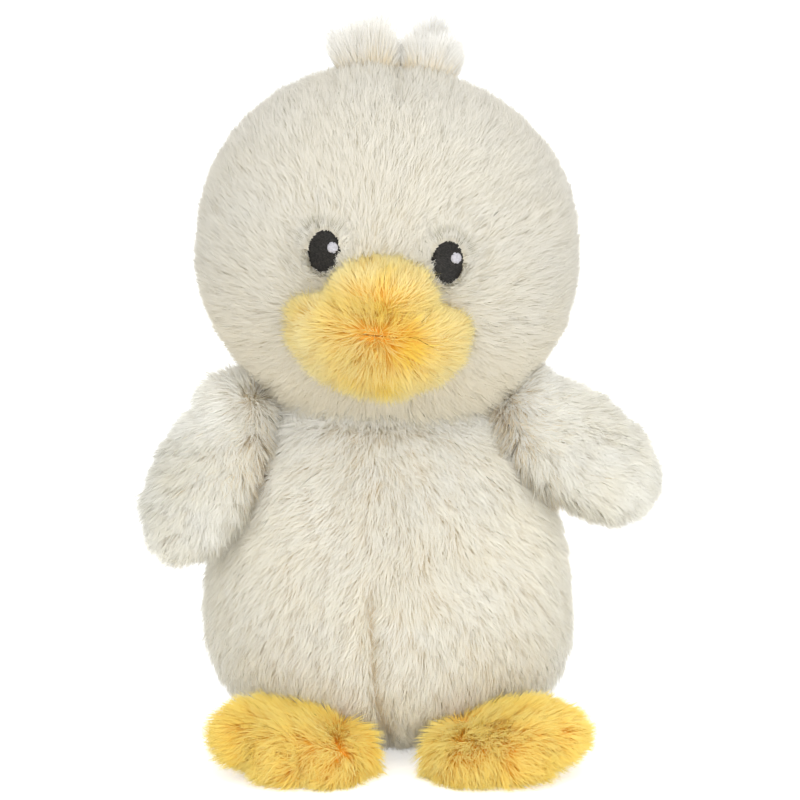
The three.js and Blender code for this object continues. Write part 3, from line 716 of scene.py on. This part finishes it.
# Head: a wide ball of the same cloth, rolled a little to one side, that nods in the cup of the body.
# Its pile is finer to look at, combed out from the bill on all sides, and it is short round the eyes.
HEAD_PILE_DEPTH = 0.0046
HEAD_TIPS = ((0.925, 0.880, 0.755, 1), (0.938, 0.928, 0.885, 1))
HEAD_ROOTS = ((0.900, 0.830, 0.66, 1), (0.930, 0.905, 0.82, 1))
HEAD_CLOTH = ((0.90, 0.85, 0.72, 1), (0.95, 0.91, 0.82, 1))
FULLER_SIDE = (-0.75, 0, 0.66)  # which way the head is stuffed fuller
CROWN_CREASE = ((-0.0021, -0.0260, 0.0540), (-0.0025, -0.0180, 0.0575), (-0.0027, -0.0050, 0.0605))
CROWN_BUMPS = ((-0.0130, -0.006, 0.060), (0.0080, -0.006, 0.060))
EYE = {"half_width": 0.0053, "half_height": 0.0071, "aside": 0.0195, "rise": 0.0065, "face_aside": -0.0013}
RAISED_ROUND_EYES = (  # from how near an eye, and how far, the cloth lies how deep in the pile
    {"full": 1.25, "gone": 2.6, "depth": 0.0026},
    {"full": 1.0, "gone": 1.25, "depth": -0.0001},
)
BILL = {"side": 0.030, "front": 0.027, "back": 0.022, "up": 0.015, "down": 0.023,
        "square": 2.3, "below": 2.0, "pole": 2}
BRIDGE = {"side": 0.0145, "front": 0.019, "back": 0.020, "up": 0.025, "down": 0.008,
          "square": 2.8, "below": 2.0, "pole": 2}
BILL_MIDDLE = np.array((EYE["face_aside"], -0.048, -0.016))  # in the head's own frame
SIDES = {"left": 1, "right": -1}


def eye_middle(sign):
    return np.array((EYE["face_aside"] + sign * EYE["aside"], 0, EYE["rise"]))


def eye_reach(points, sign):
    """Distance from an eye's middle on the face, where 1 is the oval's edge. Points are the head's own."""
    aside = (points[..., 0] - EYE["face_aside"] - sign * EYE["aside"]) / EYE["half_width"]
    above = (points[..., 2] - EYE["rise"]) / EYE["half_height"]
    return np.hypot(aside, above) + 20.0 * (points[..., 1] > 0)


def near_eyes(points, full, gone):
    """1 within `full` of an eye's middle, down to 0 at `gone`, in half-widths of the oval."""
    return sum(1 - smooth(full, gone, eye_reach(points, sign)) for sign in SIDES.values())


def in_bill(points, inset):
    """Inside the bill's two masses. Points are the head's own."""
    local = points - BILL_MIDDLE
    return (fullness(BILL, local, inset) < 1) | (fullness(BRIDGE, local, inset) < 1)


def head_grid(rings, around):
    rays = directions(rings, around)
    whole = stuffed(HEAD, rays)
    deep = stuffed(HEAD, rays, HEAD_PILE_DEPTH)
    fuller = smooth(0.3, 1, rays @ FULLER_SIDE)
    bumps = sum(np.exp(-((np.linalg.norm(whole - bump, axis=-1) / 0.009) ** 2)) for bump in CROWN_BUMPS)
    creased, _ = beside(whole, CROWN_CREASE, 0.0028)
    deep = deep + rays * (0.0014 * fuller + 0.0016 * bumps - 0.002 * creased)[..., None]
    for step in RAISED_ROUND_EYES:
        raised = near_eyes(whole, step["full"], step["gone"])[..., None]
        deep = deep * (1 - raised) + stuffed(HEAD, rays, step["depth"]) * raised
    return head_place.out(deep)


head_cloth_grid = head_grid(128, 192)
head_backing = cloth_finish("head_backing_cloth", HEAD_CLOTH)
head_pile = pile_finish("head_pile", HEAD_ROOTS, HEAD_TIPS)
cloth("head_cloth", head_cloth_grid, head_backing, "head", "cream_pile", 0.85, "head_cover", "head_filling")

HEAD_LAYERS = {
    "head_under_pile": {"count": 62000, "length": 0.0068, "width": 0.00034, "lean": (34, 64), "pull": 0.12},
    "head_pile": {"count": 64000, "length": 0.0082, "width": 0.00026, "lean": (38, 72), "pull": 0.16},
    "head_tips": {"count": 62000, "length": 0.0092, "width": 0.00021, "lean": (40, 76), "pull": 0.2},
}
for seed, (name, layer) in enumerate(HEAD_LAYERS.items(), 20):
    roots, normals, local = scattered(
        head_cloth_grid, head_place, layer["count"], seed, lambda roots, local:
        ~in_body(roots, 0.004) & ~in_bill(local, 0.004) & (near_eyes(local, 1.0, 1.02) < 0.5))
    comb = unit(local - BILL_MIDDLE) + smooth(0, 0.05, local[:, 1:2]) * (0, 0, -0.9)
    creased, off = beside(local, CROWN_CREASE, 0.0035)
    comb += 1.2 * creased[:, None] * off
    at_neck = near_form(BODY, body_place, roots, 1.3)
    at_neck *= 1 - smooth(0.042, 0.052, np.abs(local[:, 0]))
    for sign in (-1, 1):
        from_eye = local - eye_middle(sign)
        above = smooth(-0.002, 0.004, from_eye[:, 2])
        weight = (1 - smooth(1.0, 2.4, eye_reach(local, sign))) * above
        comb += 1.8 * weight[:, None] * unit(from_eye * (1, 0, 1))
    length = layer["length"] * (1 - 0.4 * near_eyes(local, 1.1, 2.5)) * (1 - 0.3 * creased)
    length *= 1 + 0.45 * at_neck
    lean = [angle - 16 * at_neck for angle in layer["lean"]]
    # Painted shade in the tone: the pile is darker and warmer towards the underside of the head, and darker
    # in the crown crease.
    low = smooth(0.0, 0.045, -local[:, 2])
    coat = unit(normals + low[:, None] * (0, -0.35, 0.15))
    pile(name, roots, normals, head_place.aimed(comb), head_pile, "head", "cream_pile", length,
         layer["width"], lean, 0.72 - 0.25 * creased - 0.62 * low, clump=0.0034, pull=layer["pull"], stray=15,
         vary=0.3, facing=coat, seed=seed)

# Round each eye the pile is short and close. Below it lies over the oval's rim, and above it stands away,
# with a few longer darker hairs among it.
LASH_ROOTS = ((0.24, 0.22, 0.16, 1), (0.44, 0.41, 0.31, 1))
LASH_TIPS = ((0.52, 0.49, 0.39, 1), (0.76, 0.73, 0.61, 1))
EYE_HAIRS = {  # `lowest` is how far above the eye's middle they begin: at -1 they are all round it
    "eye_rim_pile": {"count": 1000000, "near": 0.92, "far": 1.5, "length": 0.0036, "lean": (26, 66),
                     "lowest": -1, "finish": head_pile},
    "eye_lashes": {"count": 90000, "near": 0.97, "far": 1.08, "length": 0.0066, "lean": (12, 62),
                   "lowest": 0.0035, "finish": pile_finish("lash_pile", LASH_ROOTS, LASH_TIPS)},
}
for seed, (side, sign) in enumerate(SIDES.items(), 26):
    for kind, hairs in EYE_HAIRS.items():
        roots, normals, local = scattered(
            head_cloth_grid, head_place, hairs["count"], seed, lambda roots, local:
            (eye_reach(local, sign) > hairs["near"]) & (eye_reach(local, sign) < hairs["far"])
            & ((local - eye_middle(sign)) @ (0.5 * sign, 0, 1) > hairs["lowest"]))
        from_eye = (local - eye_middle(sign)) * (1, 0, 1)
        above = smooth(-0.003, 0.003, from_eye[:, 2])
        comb = unit(from_eye) * (2 * above - 1)[:, None]
        pile(f"{side}_{kind}", roots, normals, head_place.aimed(comb), hairs["finish"], "head", "cream_pile",
             hairs["length"] * (0.75 + 0.25 * above), width=0.0002, lean=hairs["lean"], tone=0.7,
             clump=0.0022, pull=0.2, stray=14, vary=0.5, seed=seed)

# Tufts: two short fans of the same pile, sewn side by side into the seam on the crown, and leaning apart.
TUFT = {"side": 0.0115, "front": 0.007, "back": 0.007, "up": 0.0155, "down": 0.008,
        "square": 2.0, "below": 2.0, "pole": 2}
TUFT_LEAN = math.radians(13)
TUFT_BEHIND = 0.003  # how far behind the middle of the head the tufts are sewn
TUFT_CORE = {"left": (0.74, 0.5, 0.34), "right": (0.84, 0.5, 0.34)}  # the cloth in each fan, as a share of it
TUFT_SINK = np.array((0, 0, -0.002))
TUFT_INWARDS = {"left": 0.0025, "right": 0.0010}  # how far each fan's cloth lies towards the other one
TUFT_LENGTH = 0.0110
TUFT_STRANDS = 14000
FAN_INWARDS = 0.15  # how far the middle of a fan leans towards the other one
FAN_SPREAD = (40, 60, 0)  # how much the strands lean outwards for each metre from the middle of the fan
FAN_ROUND = (45, 260, 0)  # and how much their shading turns outwards
TUFT_TIPS = ((0.985, 0.965, 0.90, 1), (0.995, 0.988, 0.96, 1))
TUFT_ROOTS = ((0.96, 0.84, 0.60, 1), (0.98, 0.91, 0.75, 1))


def turned(x, y, z):
    """The turn about Z, then Y, then X."""
    cos, sin = np.cos((x, y, z)), np.sin((x, y, z))
    about_x = np.array([[1, 0, 0], [0, cos[0], -sin[0]], [0, sin[0], cos[0]]])
    about_y = np.array([[cos[1], 0, sin[1]], [0, 1, 0], [-sin[1], 0, cos[1]]])
    about_z = np.array([[cos[2], -sin[2], 0], [sin[2], cos[2], 0], [0, 0, 1]])
    return about_x @ about_y @ about_z


tuft_pile = pile_finish("crown_pile", TUFT_ROOTS, TUFT_TIPS)
tuft_aside = TUFT["side"] * math.cos(TUFT_LEAN)
crown = (1 - (tuft_aside / HEAD["side"]) ** HEAD["square"]) ** (2 / HEAD["square"])
crown = HEAD["up"] * math.sqrt(crown - (TUFT_BEHIND / HEAD["back"]) ** 2)
for seed, (side, sign) in enumerate(SIDES.items(), 30):
    foot_of_tuft = head_place.out(np.array((EYE["face_aside"] + sign * tuft_aside, TUFT_BEHIND, crown)))
    tuft_place = Place(foot_of_tuft, head_place.turn @ turned(0, sign * TUFT_LEAN, 0))
    inwards = np.array((TUFT_INWARDS[side] * sign, 0, 0))
    grid = tuft_place.out(stuffed(TUFT, directions(24, 36)) * TUFT_CORE[side] + TUFT_SINK - inwards)
    cloth(f"{side}_tuft_cloth", grid, cream_cloth, "head", "cream_pile", 0.3, f"{side}_tuft")
    roots, _, local = scattered(grid, tuft_place, TUFT_STRANDS, seed, lambda roots, local:
                                ~in_head(roots, HEAD_PILE_DEPTH) & (local[:, 2] > -0.0015))
    local += inwards
    aside = local[:, 0] / (TUFT["side"] * TUFT_CORE[side][0])
    fan = unit(local * FAN_SPREAD + (-FAN_INWARDS * sign, 0, 1))
    front = unit(local * FAN_ROUND + (0, -0.9, 0.9))
    length = TUFT_LENGTH * (1 - 0.3 * aside**2) * (1 + 0.5 * drift(roots, 0.0032, 41))
    length *= 1 - 0.3 * smooth(0, 1, -sign * aside)
    pile(f"{side}_tuft_pile", roots, tuft_place.aimed(fan), tuft_place.aimed(local * (1, 1, 0)), tuft_pile,
         "head", "cream_pile", length, width=0.00023, lean=(4, 22), tone=0.72, clump=0.0026, pull=0.35,
         stray=50, uneven=1.1, vary=0.6, facing=tuft_place.aimed(front), seed=seed)

# Eyes: ovals of black thread in satin stitch, with a small round glint of white thread, laid on the cloth.
# Each stitch is one thread across the oval, and the rows slant. The ends are a little ragged.
THREAD_RADIUS = 0.0003
STITCH_SLANT = math.radians(24)
STITCH_STEPS = 14
STITCH_RAGGED = {"row": 0.15, "end": 0.035}  # as shares of a row and of the oval
STITCH_SINK = 0.0006  # how far the ends of a stitch lie below the rest
EYE_PAD = 0.0011
EYE_EDGE = 0.0005
EYE_RISE = 0.0003
EYE_ROWS = 26
GLINT = {"radius": 0.0015, "aside": 0.0026, "rise": 0.0018, "pad": 0.0005, "rows": 8}
BLACK_THREAD = ((0.005, 0.004, 0.003, 1), (0.034, 0.031, 0.026, 1))
WHITE_THREAD = ((0.40, 0.39, 0.42, 1), (0.56, 0.55, 0.58, 1))


def face_depth(x, z):
    """The head form's front, as the y of a place on the face: the root of 1 less the other two shares."""
    across = (1 - np.abs(x / HEAD["side"]) ** HEAD["square"]) ** (1 / HEAD["square"])
    reach = np.where(z < 0, HEAD["down"], HEAD["up"])
    return -HEAD["front"] * np.sqrt(across**2 - (z / reach) ** 2)


def satin(name, middle, half, pad, rise, rows, finish, slot, node, seed):
    """Satin stitch over an oval of the face. In the unit disc, row k lies at height v and runs from
    -sqrt(1 - v^2) to +sqrt(1 - v^2); the disc is slanted, stretched to the oval and laid on the face. Every
    thread is a tube that swells over the middle of the pad, with its ends a little out of line."""
    chance = np.random.default_rng(seed)
    v = np.linspace(-0.97, 0.97, rows)[:, None] + chance.normal(0, STITCH_RAGGED["row"] / rows, (rows, 1))
    reach = np.sqrt(np.maximum(0, 1 - v**2)) * (1 + chance.normal(0, STITCH_RAGGED["end"], (rows, 1)))
    u = reach * np.sin(np.linspace(-math.pi / 2, math.pi / 2, STITCH_STEPS))[None, :]
    v = np.broadcast_to(v, u.shape)
    slanted = (u * math.cos(STITCH_SLANT) - v * math.sin(STITCH_SLANT),
               u * math.sin(STITCH_SLANT) + v * math.cos(STITCH_SLANT))
    x, z = middle[0] + half[0] * slanted[0], middle[1] + half[1] * slanted[1]
    swell = np.sqrt(np.maximum(0, 1 - (u**2 + v**2) ** 2))
    sunk = -STITCH_SINK * (np.abs(np.linspace(-1, 1, STITCH_STEPS)) > 0.98)[None, :]
    line = vectors(x, face_depth(x, z) - rise - pad * swell - sunk, z)
    threads(name, head_place, line, (0, -1, 0), THREAD_RADIUS, finish, "head", slot, node)


black_thread = thread_finish("black_thread", BLACK_THREAD, 0.42, shine=0.24)
white_thread = thread_finish("white_thread", WHITE_THREAD, 0.45)
for seed, (side, sign) in enumerate(SIDES.items(), 40):
    middle = eye_middle(sign)[[0, 2]]
    half = (EYE["half_width"] - EYE_EDGE, EYE["half_height"] - EYE_EDGE)
    satin(f"{side}_eye_stitches", middle, half, EYE_PAD, EYE_RISE, EYE_ROWS, black_thread,
          "black_thread", f"{side}_eye", seed)
    satin(f"{side}_glint_stitches", middle + (GLINT["aside"], GLINT["rise"]), (GLINT["radius"],) * 2,
          GLINT["pad"], EYE_PAD + EYE_RISE, GLINT["rows"], white_thread, "white_thread",
          f"{side}_eye_glint", seed + 5)

# Bill: a wide upper half with a bridge that runs up between the eyes, and a round lower half, of shorter
# yellow pile. The pile is combed out from the middle of the mouth, with orange roots that show in its gaps.
BILL_DEPTH = 0.005
BRIDGE_DEPTH = np.array((0.0040, 0.003, 0.0050))
SOFT_BRIDGE = {**BRIDGE, "square": 6.0}  # under its pile the bridge is straighter and its top is flatter
MOUTH = np.array((-0.001, -0.030, 0))  # where the pile parts, from the middle of the bill
MOUTH_GAP = 0.0002  # from the mouth's line to each half's cloth
BILL_HALVES = {"upper": {"sign": 1, "count": 30000}, "lower": {"sign": -1, "count": 24000}}
YELLOW_TIPS = ((0.998, 0.81, 0.16, 1), (0.999, 0.94, 0.62, 1))
YELLOW_ROOTS = ((0.996, 0.60, 0.06, 1), (0.998, 0.82, 0.26, 1))
YELLOW_CLOTH = ((0.92, 0.42, 0.05, 1), (0.96, 0.56, 0.09, 1))

yellow_cloth = cloth_finish("yellow_backing_cloth", YELLOW_CLOTH)
yellow_pile = pile_finish("yellow_pile", YELLOW_ROOTS, YELLOW_TIPS)
bill_rays = directions(64, 96)
bill_ball = stuffed(BILL, bill_rays, BILL_DEPTH)
bill_reach = np.maximum(np.linalg.norm(bill_ball, axis=-1),
                        1 / fullness(SOFT_BRIDGE, bill_rays, BRIDGE_DEPTH))
for seed, (half, made) in enumerate(BILL_HALVES.items(), 50):
    sign = made["sign"]
    form = bill_reach[..., None] * unit(bill_ball)
    form[..., 2] = sign * np.maximum(sign * form[..., 2], MOUTH_GAP)
    grid = head_place.out(form + BILL_MIDDLE)
    cloth(f"{half}_bill_cloth", grid, yellow_cloth, "head", "yellow_pile", 0.7,
          f"{half}_bill_cover", f"{half}_bill_filling")
    roots, normals, local = scattered(
        grid, head_place, made["count"], seed, lambda roots, local:
        ~in_head(roots, 0.0035) & (sign * (local[:, 2] - BILL_MIDDLE[2]) > 1.1 * MOUTH_GAP))
    from_mouth = local - BILL_MIDDLE - MOUTH
    away = np.hypot(from_mouth[:, 0], from_mouth[:, 2])
    level = smooth(0.001, 0.014, away)
    bridge = smooth(0.006, 0.018, from_mouth[:, 2])
    from_mouth[:, 0] *= 1 - 0.5 * bridge
    aside = np.abs(local[:, 0] - BILL_MIDDLE[0])
    shoulder = smooth(0.011, 0.016, aside) * smooth(0.001, 0.006, from_mouth[:, 2])
    from_mouth += np.random.default_rng(seed + 5).normal(0, 0.0028, from_mouth.shape)
    corner = bridge * smooth(0.004, 0.010, aside)
    tone = 0.44 + 0.3 * smooth(0.006, 0.022, away) + 0.14 * bridge + 0.14 * smooth(0.022, 0.032, away)
    tone -= 0.4 * smooth(0.25, 0.8, drift(roots, 0.006, 26))
    length = (0.0088 - 0.0016 * bridge) * (1 - 0.3 * shoulder) * (1 + 0.35 * corner)
    length *= 1 - 0.6 * near_eyes(local, 1.4, 2.5)
    lean = (8 + 32 * level, 26 + 46 * level + 6 * bridge)
    pile(f"{half}_bill_pile", roots, normals, head_place.aimed(from_mouth), yellow_pile, "head",
         "yellow_pile", length, width=0.00025, lean=lean, tone=tone, clump=0.0046, pull=0.5, stray=19,
         vary=0.8, seed=seed)

# Wings: mittens of the cream cloth that swell towards the tip, each sewn on at the shoulder by a round root.
WING = {"side": 0.021, "front": 0.0145, "back": 0.0145, "up": 0.037, "down": 0.029,
        "square": 2.3, "below": 2.3, "pole": 2}
WING_ROOT = 0.015
WING_MIDDLE = np.array((0, 0, -0.025))  # the mitten's middle, from the shoulder
WING_NARROW = 0.9
WING_BLEND = 0.004
WING_DEPTH = 0.0064
WING_STRANDS = 46000
DART_DEPTH = 0.0036
WINGS = {
    "left": {"turn": (-20, -50, 20), "shift": (0.0020, 0, 0.0022), "fold_shaded": 1.1,
             "dart": ((-0.0087, -0.0129, -0.0305), (-0.0097, -0.0102, -0.0426), (-0.0044, -0.0088, -0.0488))},
    "right": {"turn": (-20, 24, -34), "shift": (-0.0012, 0, 0), "fold_shaded": 0.7,
              "dart": ((0.0148, -0.0091, -0.0364), (0.0102, -0.0068, -0.0479))},
}


def wing_grid(place, rings, around, inset):
    """The further of two forms along each ray from the mitten's middle: the mitten, and the round root."""
    mitten = stuffed(WING, directions(rings, around), inset)
    narrow = WING_NARROW + (1 - WING_NARROW) * (1 - smooth(0, WING["up"], mitten[..., 2]))
    mitten = mitten * vectors(narrow, narrow, 1)
    straight = unit(mitten)
    towards = straight[..., 2] * -WING_MIDDLE[2]
    gap = towards**2 - WING_MIDDLE[2]**2 + (WING_ROOT - inset) ** 2
    to_root = np.where(gap > 0, towards + np.sqrt(np.maximum(gap, 0)), 0)
    to_mitten = np.linalg.norm(mitten, axis=-1)
    share = np.clip(0.5 + (to_root - to_mitten) / (2 * WING_BLEND), 0, 1)
    far = to_mitten * (1 - share) + to_root * share + WING_BLEND * share * (1 - share)
    return place.out(straight * far[..., None] + WING_MIDDLE)


def in_another(points):
    """Inside the pressed pile of the body or of the head."""
    return in_body(points, PILE_DEPTH) | in_head(points, HEAD_PILE_DEPTH)


for seed, (side, wing) in enumerate(WINGS.items(), 60):
    wing_place = Place(joints[f"{side}_wing_swing"]["pos_m"], turned(*np.radians(wing["turn"])))
    grid = wing_grid(wing_place, 56, 72, WING_DEPTH) + wing_place.aimed(wing["shift"])
    creased, _ = beside(wing_place.into(grid), wing["dart"], 0.006)
    grid += wing_place.aimed((0, 1, 0)) * DART_DEPTH * creased[..., None]
    grid = kept_out(grid, wing_place.out(WING_MIDDLE), in_another)
    cloth(f"{side}_wing_cloth", grid, cream_cloth, f"{side}_wing", "cream_pile", 0.75,
          f"{side}_wing_cover", f"{side}_wing_filling")
    roots, normals, local = scattered(grid, wing_place, WING_STRANDS, seed, lambda roots, local:
                                      ~in_body(roots, 0.0035) & ~in_head(roots, 0.003))
    creased, off = beside(local, wing["dart"], 0.0042)
    shoulder = smooth(-0.020, 0.002, local[:, 2])
    comb = wing_place.aimed(vectors(22 * local[:, 0], 0, -1.0) + 3.0 * creased[:, None] * off)
    comb += 2.5 * shoulder[:, None] * unit(roots - head_place.origin + (0, 0.02, 0.03))
    at_head = near_form(HEAD, head_place, roots, 1.2)
    at_body = near_form(BODY, body_place, roots, 1.16)
    pressed = np.maximum(at_head, at_body) * shoulder
    # Painted shade and light in the tone: darker in the dart's crease and where the wing lies against the
    # body, and lighter over the shoulder, against the shadow of the head.
    tone = 0.74 - 0.75 * creased**2 + 0.25 * shoulder - 0.25 * at_body
    length = 0.0094 * (1 - 0.2 * at_head)
    lean = (34 + 10 * shoulder - 30 * pressed, 68 + 8 * shoulder - 36 * pressed)
    coat = unit(normals + shoulder[:, None] * (0, -0.9, 0.2))
    # Strands near the body's folds take the brown pile of the folds, as painted shade.
    fold = beside(body_place.into(roots), FOLDS[side], 0.0085)[0]
    fold_shaded = np.random.default_rng(seed + 2).random(len(roots)) < wing["fold_shaded"] * fold
    for kind, chosen, finish in (("pile", ~fold_shaded, cream_pile), ("rubbed_pile", fold_shaded, fold_shade_finish)):
        pile(f"{side}_wing_{kind}", roots[chosen], normals[chosen], comb[chosen], finish, f"{side}_wing",
             "cream_pile", length[chosen], width=0.00026, lean=[angle[chosen] for angle in lean],
             tone=tone[chosen], clump=0.0042, pull=0.42, stray=18, vary=0.8, facing=coat[chosen], seed=seed)

# Feet: flat yellow pads with toes, splayed outwards and sewn on at the ankle, with orange roots in the gaps.
FOOT = {"side": 0.0285, "front": 0.024, "back": 0.024, "up": 0.0125, "down": 0.0105,
        "square": 2.4, "below": 3.4, "pole": 2}
FOOT_DEPTH = 0.0052
FOOT_STRANDS = 30000
FOOT_MIDDLE = np.array((0, -0.020, 0))  # from the ankle
TOE_ANGLE = math.radians(60)
TOE_NOTCH = 0.2
FEET = {"left": {"splay": 20, "aside": -0.0022}, "right": {"splay": -18, "aside": 0}}
OUTER_LIFT = 0.0042  # how much higher the outer edge of a foot lies than its middle
INNER_DROP = 0.002
FOOT_TIPS = ((0.999, 0.785, 0.12, 1), (0.999, 0.885, 0.37, 1))
FOOT_ROOTS = ((0.998, 0.48, 0.03, 1), (0.999, 0.68, 0.10, 1))
FOOT_CLOTH = ((0.94, 0.40, 0.03, 1), (0.97, 0.54, 0.07, 1))

foot_cloth = cloth_finish("orange_backing_cloth", FOOT_CLOTH)
foot_pile = pile_finish("orange_yellow_pile", FOOT_ROOTS, FOOT_TIPS)


def toes(points):
    """Draws the pad in between its toes, less and less round its sides."""
    aside = np.abs(np.arctan2(points[..., 0], -points[..., 1]))
    between = 1 - np.abs(np.cos(math.pi * aside / TOE_ANGLE))
    reach = 1 - TOE_NOTCH * (1 - smooth(TOE_ANGLE, 2 * TOE_ANGLE, aside)) * between**1.5
    return points * vectors(reach, reach, 1)


for seed, (side, foot) in enumerate(FEET.items(), 70):
    foot_place = Place(joints[f"{side}_foot_bend"]["pos_m"], turned(0, 0, math.radians(foot["splay"])))
    pad = toes(stuffed(FOOT, directions(48, 96), FOOT_DEPTH)) + FOOT_MIDDLE
    outer = SIDES[side] * pad[..., 0] / FOOT["side"]
    pad[..., 0] += foot["aside"]
    pad[..., 2] += OUTER_LIFT * outer - INNER_DROP * (pad[..., 2] < 0) * (outer < 0.2)
    grid = foot_place.out(pad)
    grid[..., 2] = np.maximum(grid[..., 2], SOLE)
    grid = kept_out(grid, foot_place.out(FOOT_MIDDLE), lambda points: in_body(points, PILE_DEPTH))
    cloth(f"{side}_foot_cloth", grid, foot_cloth, f"{side}_foot", "orange_yellow_pile", 0.6,
          f"{side}_foot_cover", f"{side}_foot_filling")
    roots, normals, _ = scattered(grid, foot_place, FOOT_STRANDS, seed,
                                  lambda roots, local: ~in_body(roots, 0.003))
    source = foot_place.out(np.array((-0.013 * SIDES[side], -0.012, 0.006)))
    ankle = 1 - smooth(0.008, 0.022, np.linalg.norm(roots - foot_place.origin, axis=-1))
    pile(f"{side}_foot_pile", roots, normals, unit(roots - source) + (0, 0, 0.1), foot_pile, f"{side}_foot",
         "orange_yellow_pile", length=0.0076, width=0.00028, lean=(38, 70), tone=0.74 - 0.3 * ankle,
         clump=0.0050, pull=0.42, stray=22, uneven=0.8, vary=0.85,
         facing=unit(normals + (-0.1, -1.7, 0.5)), seed=seed)
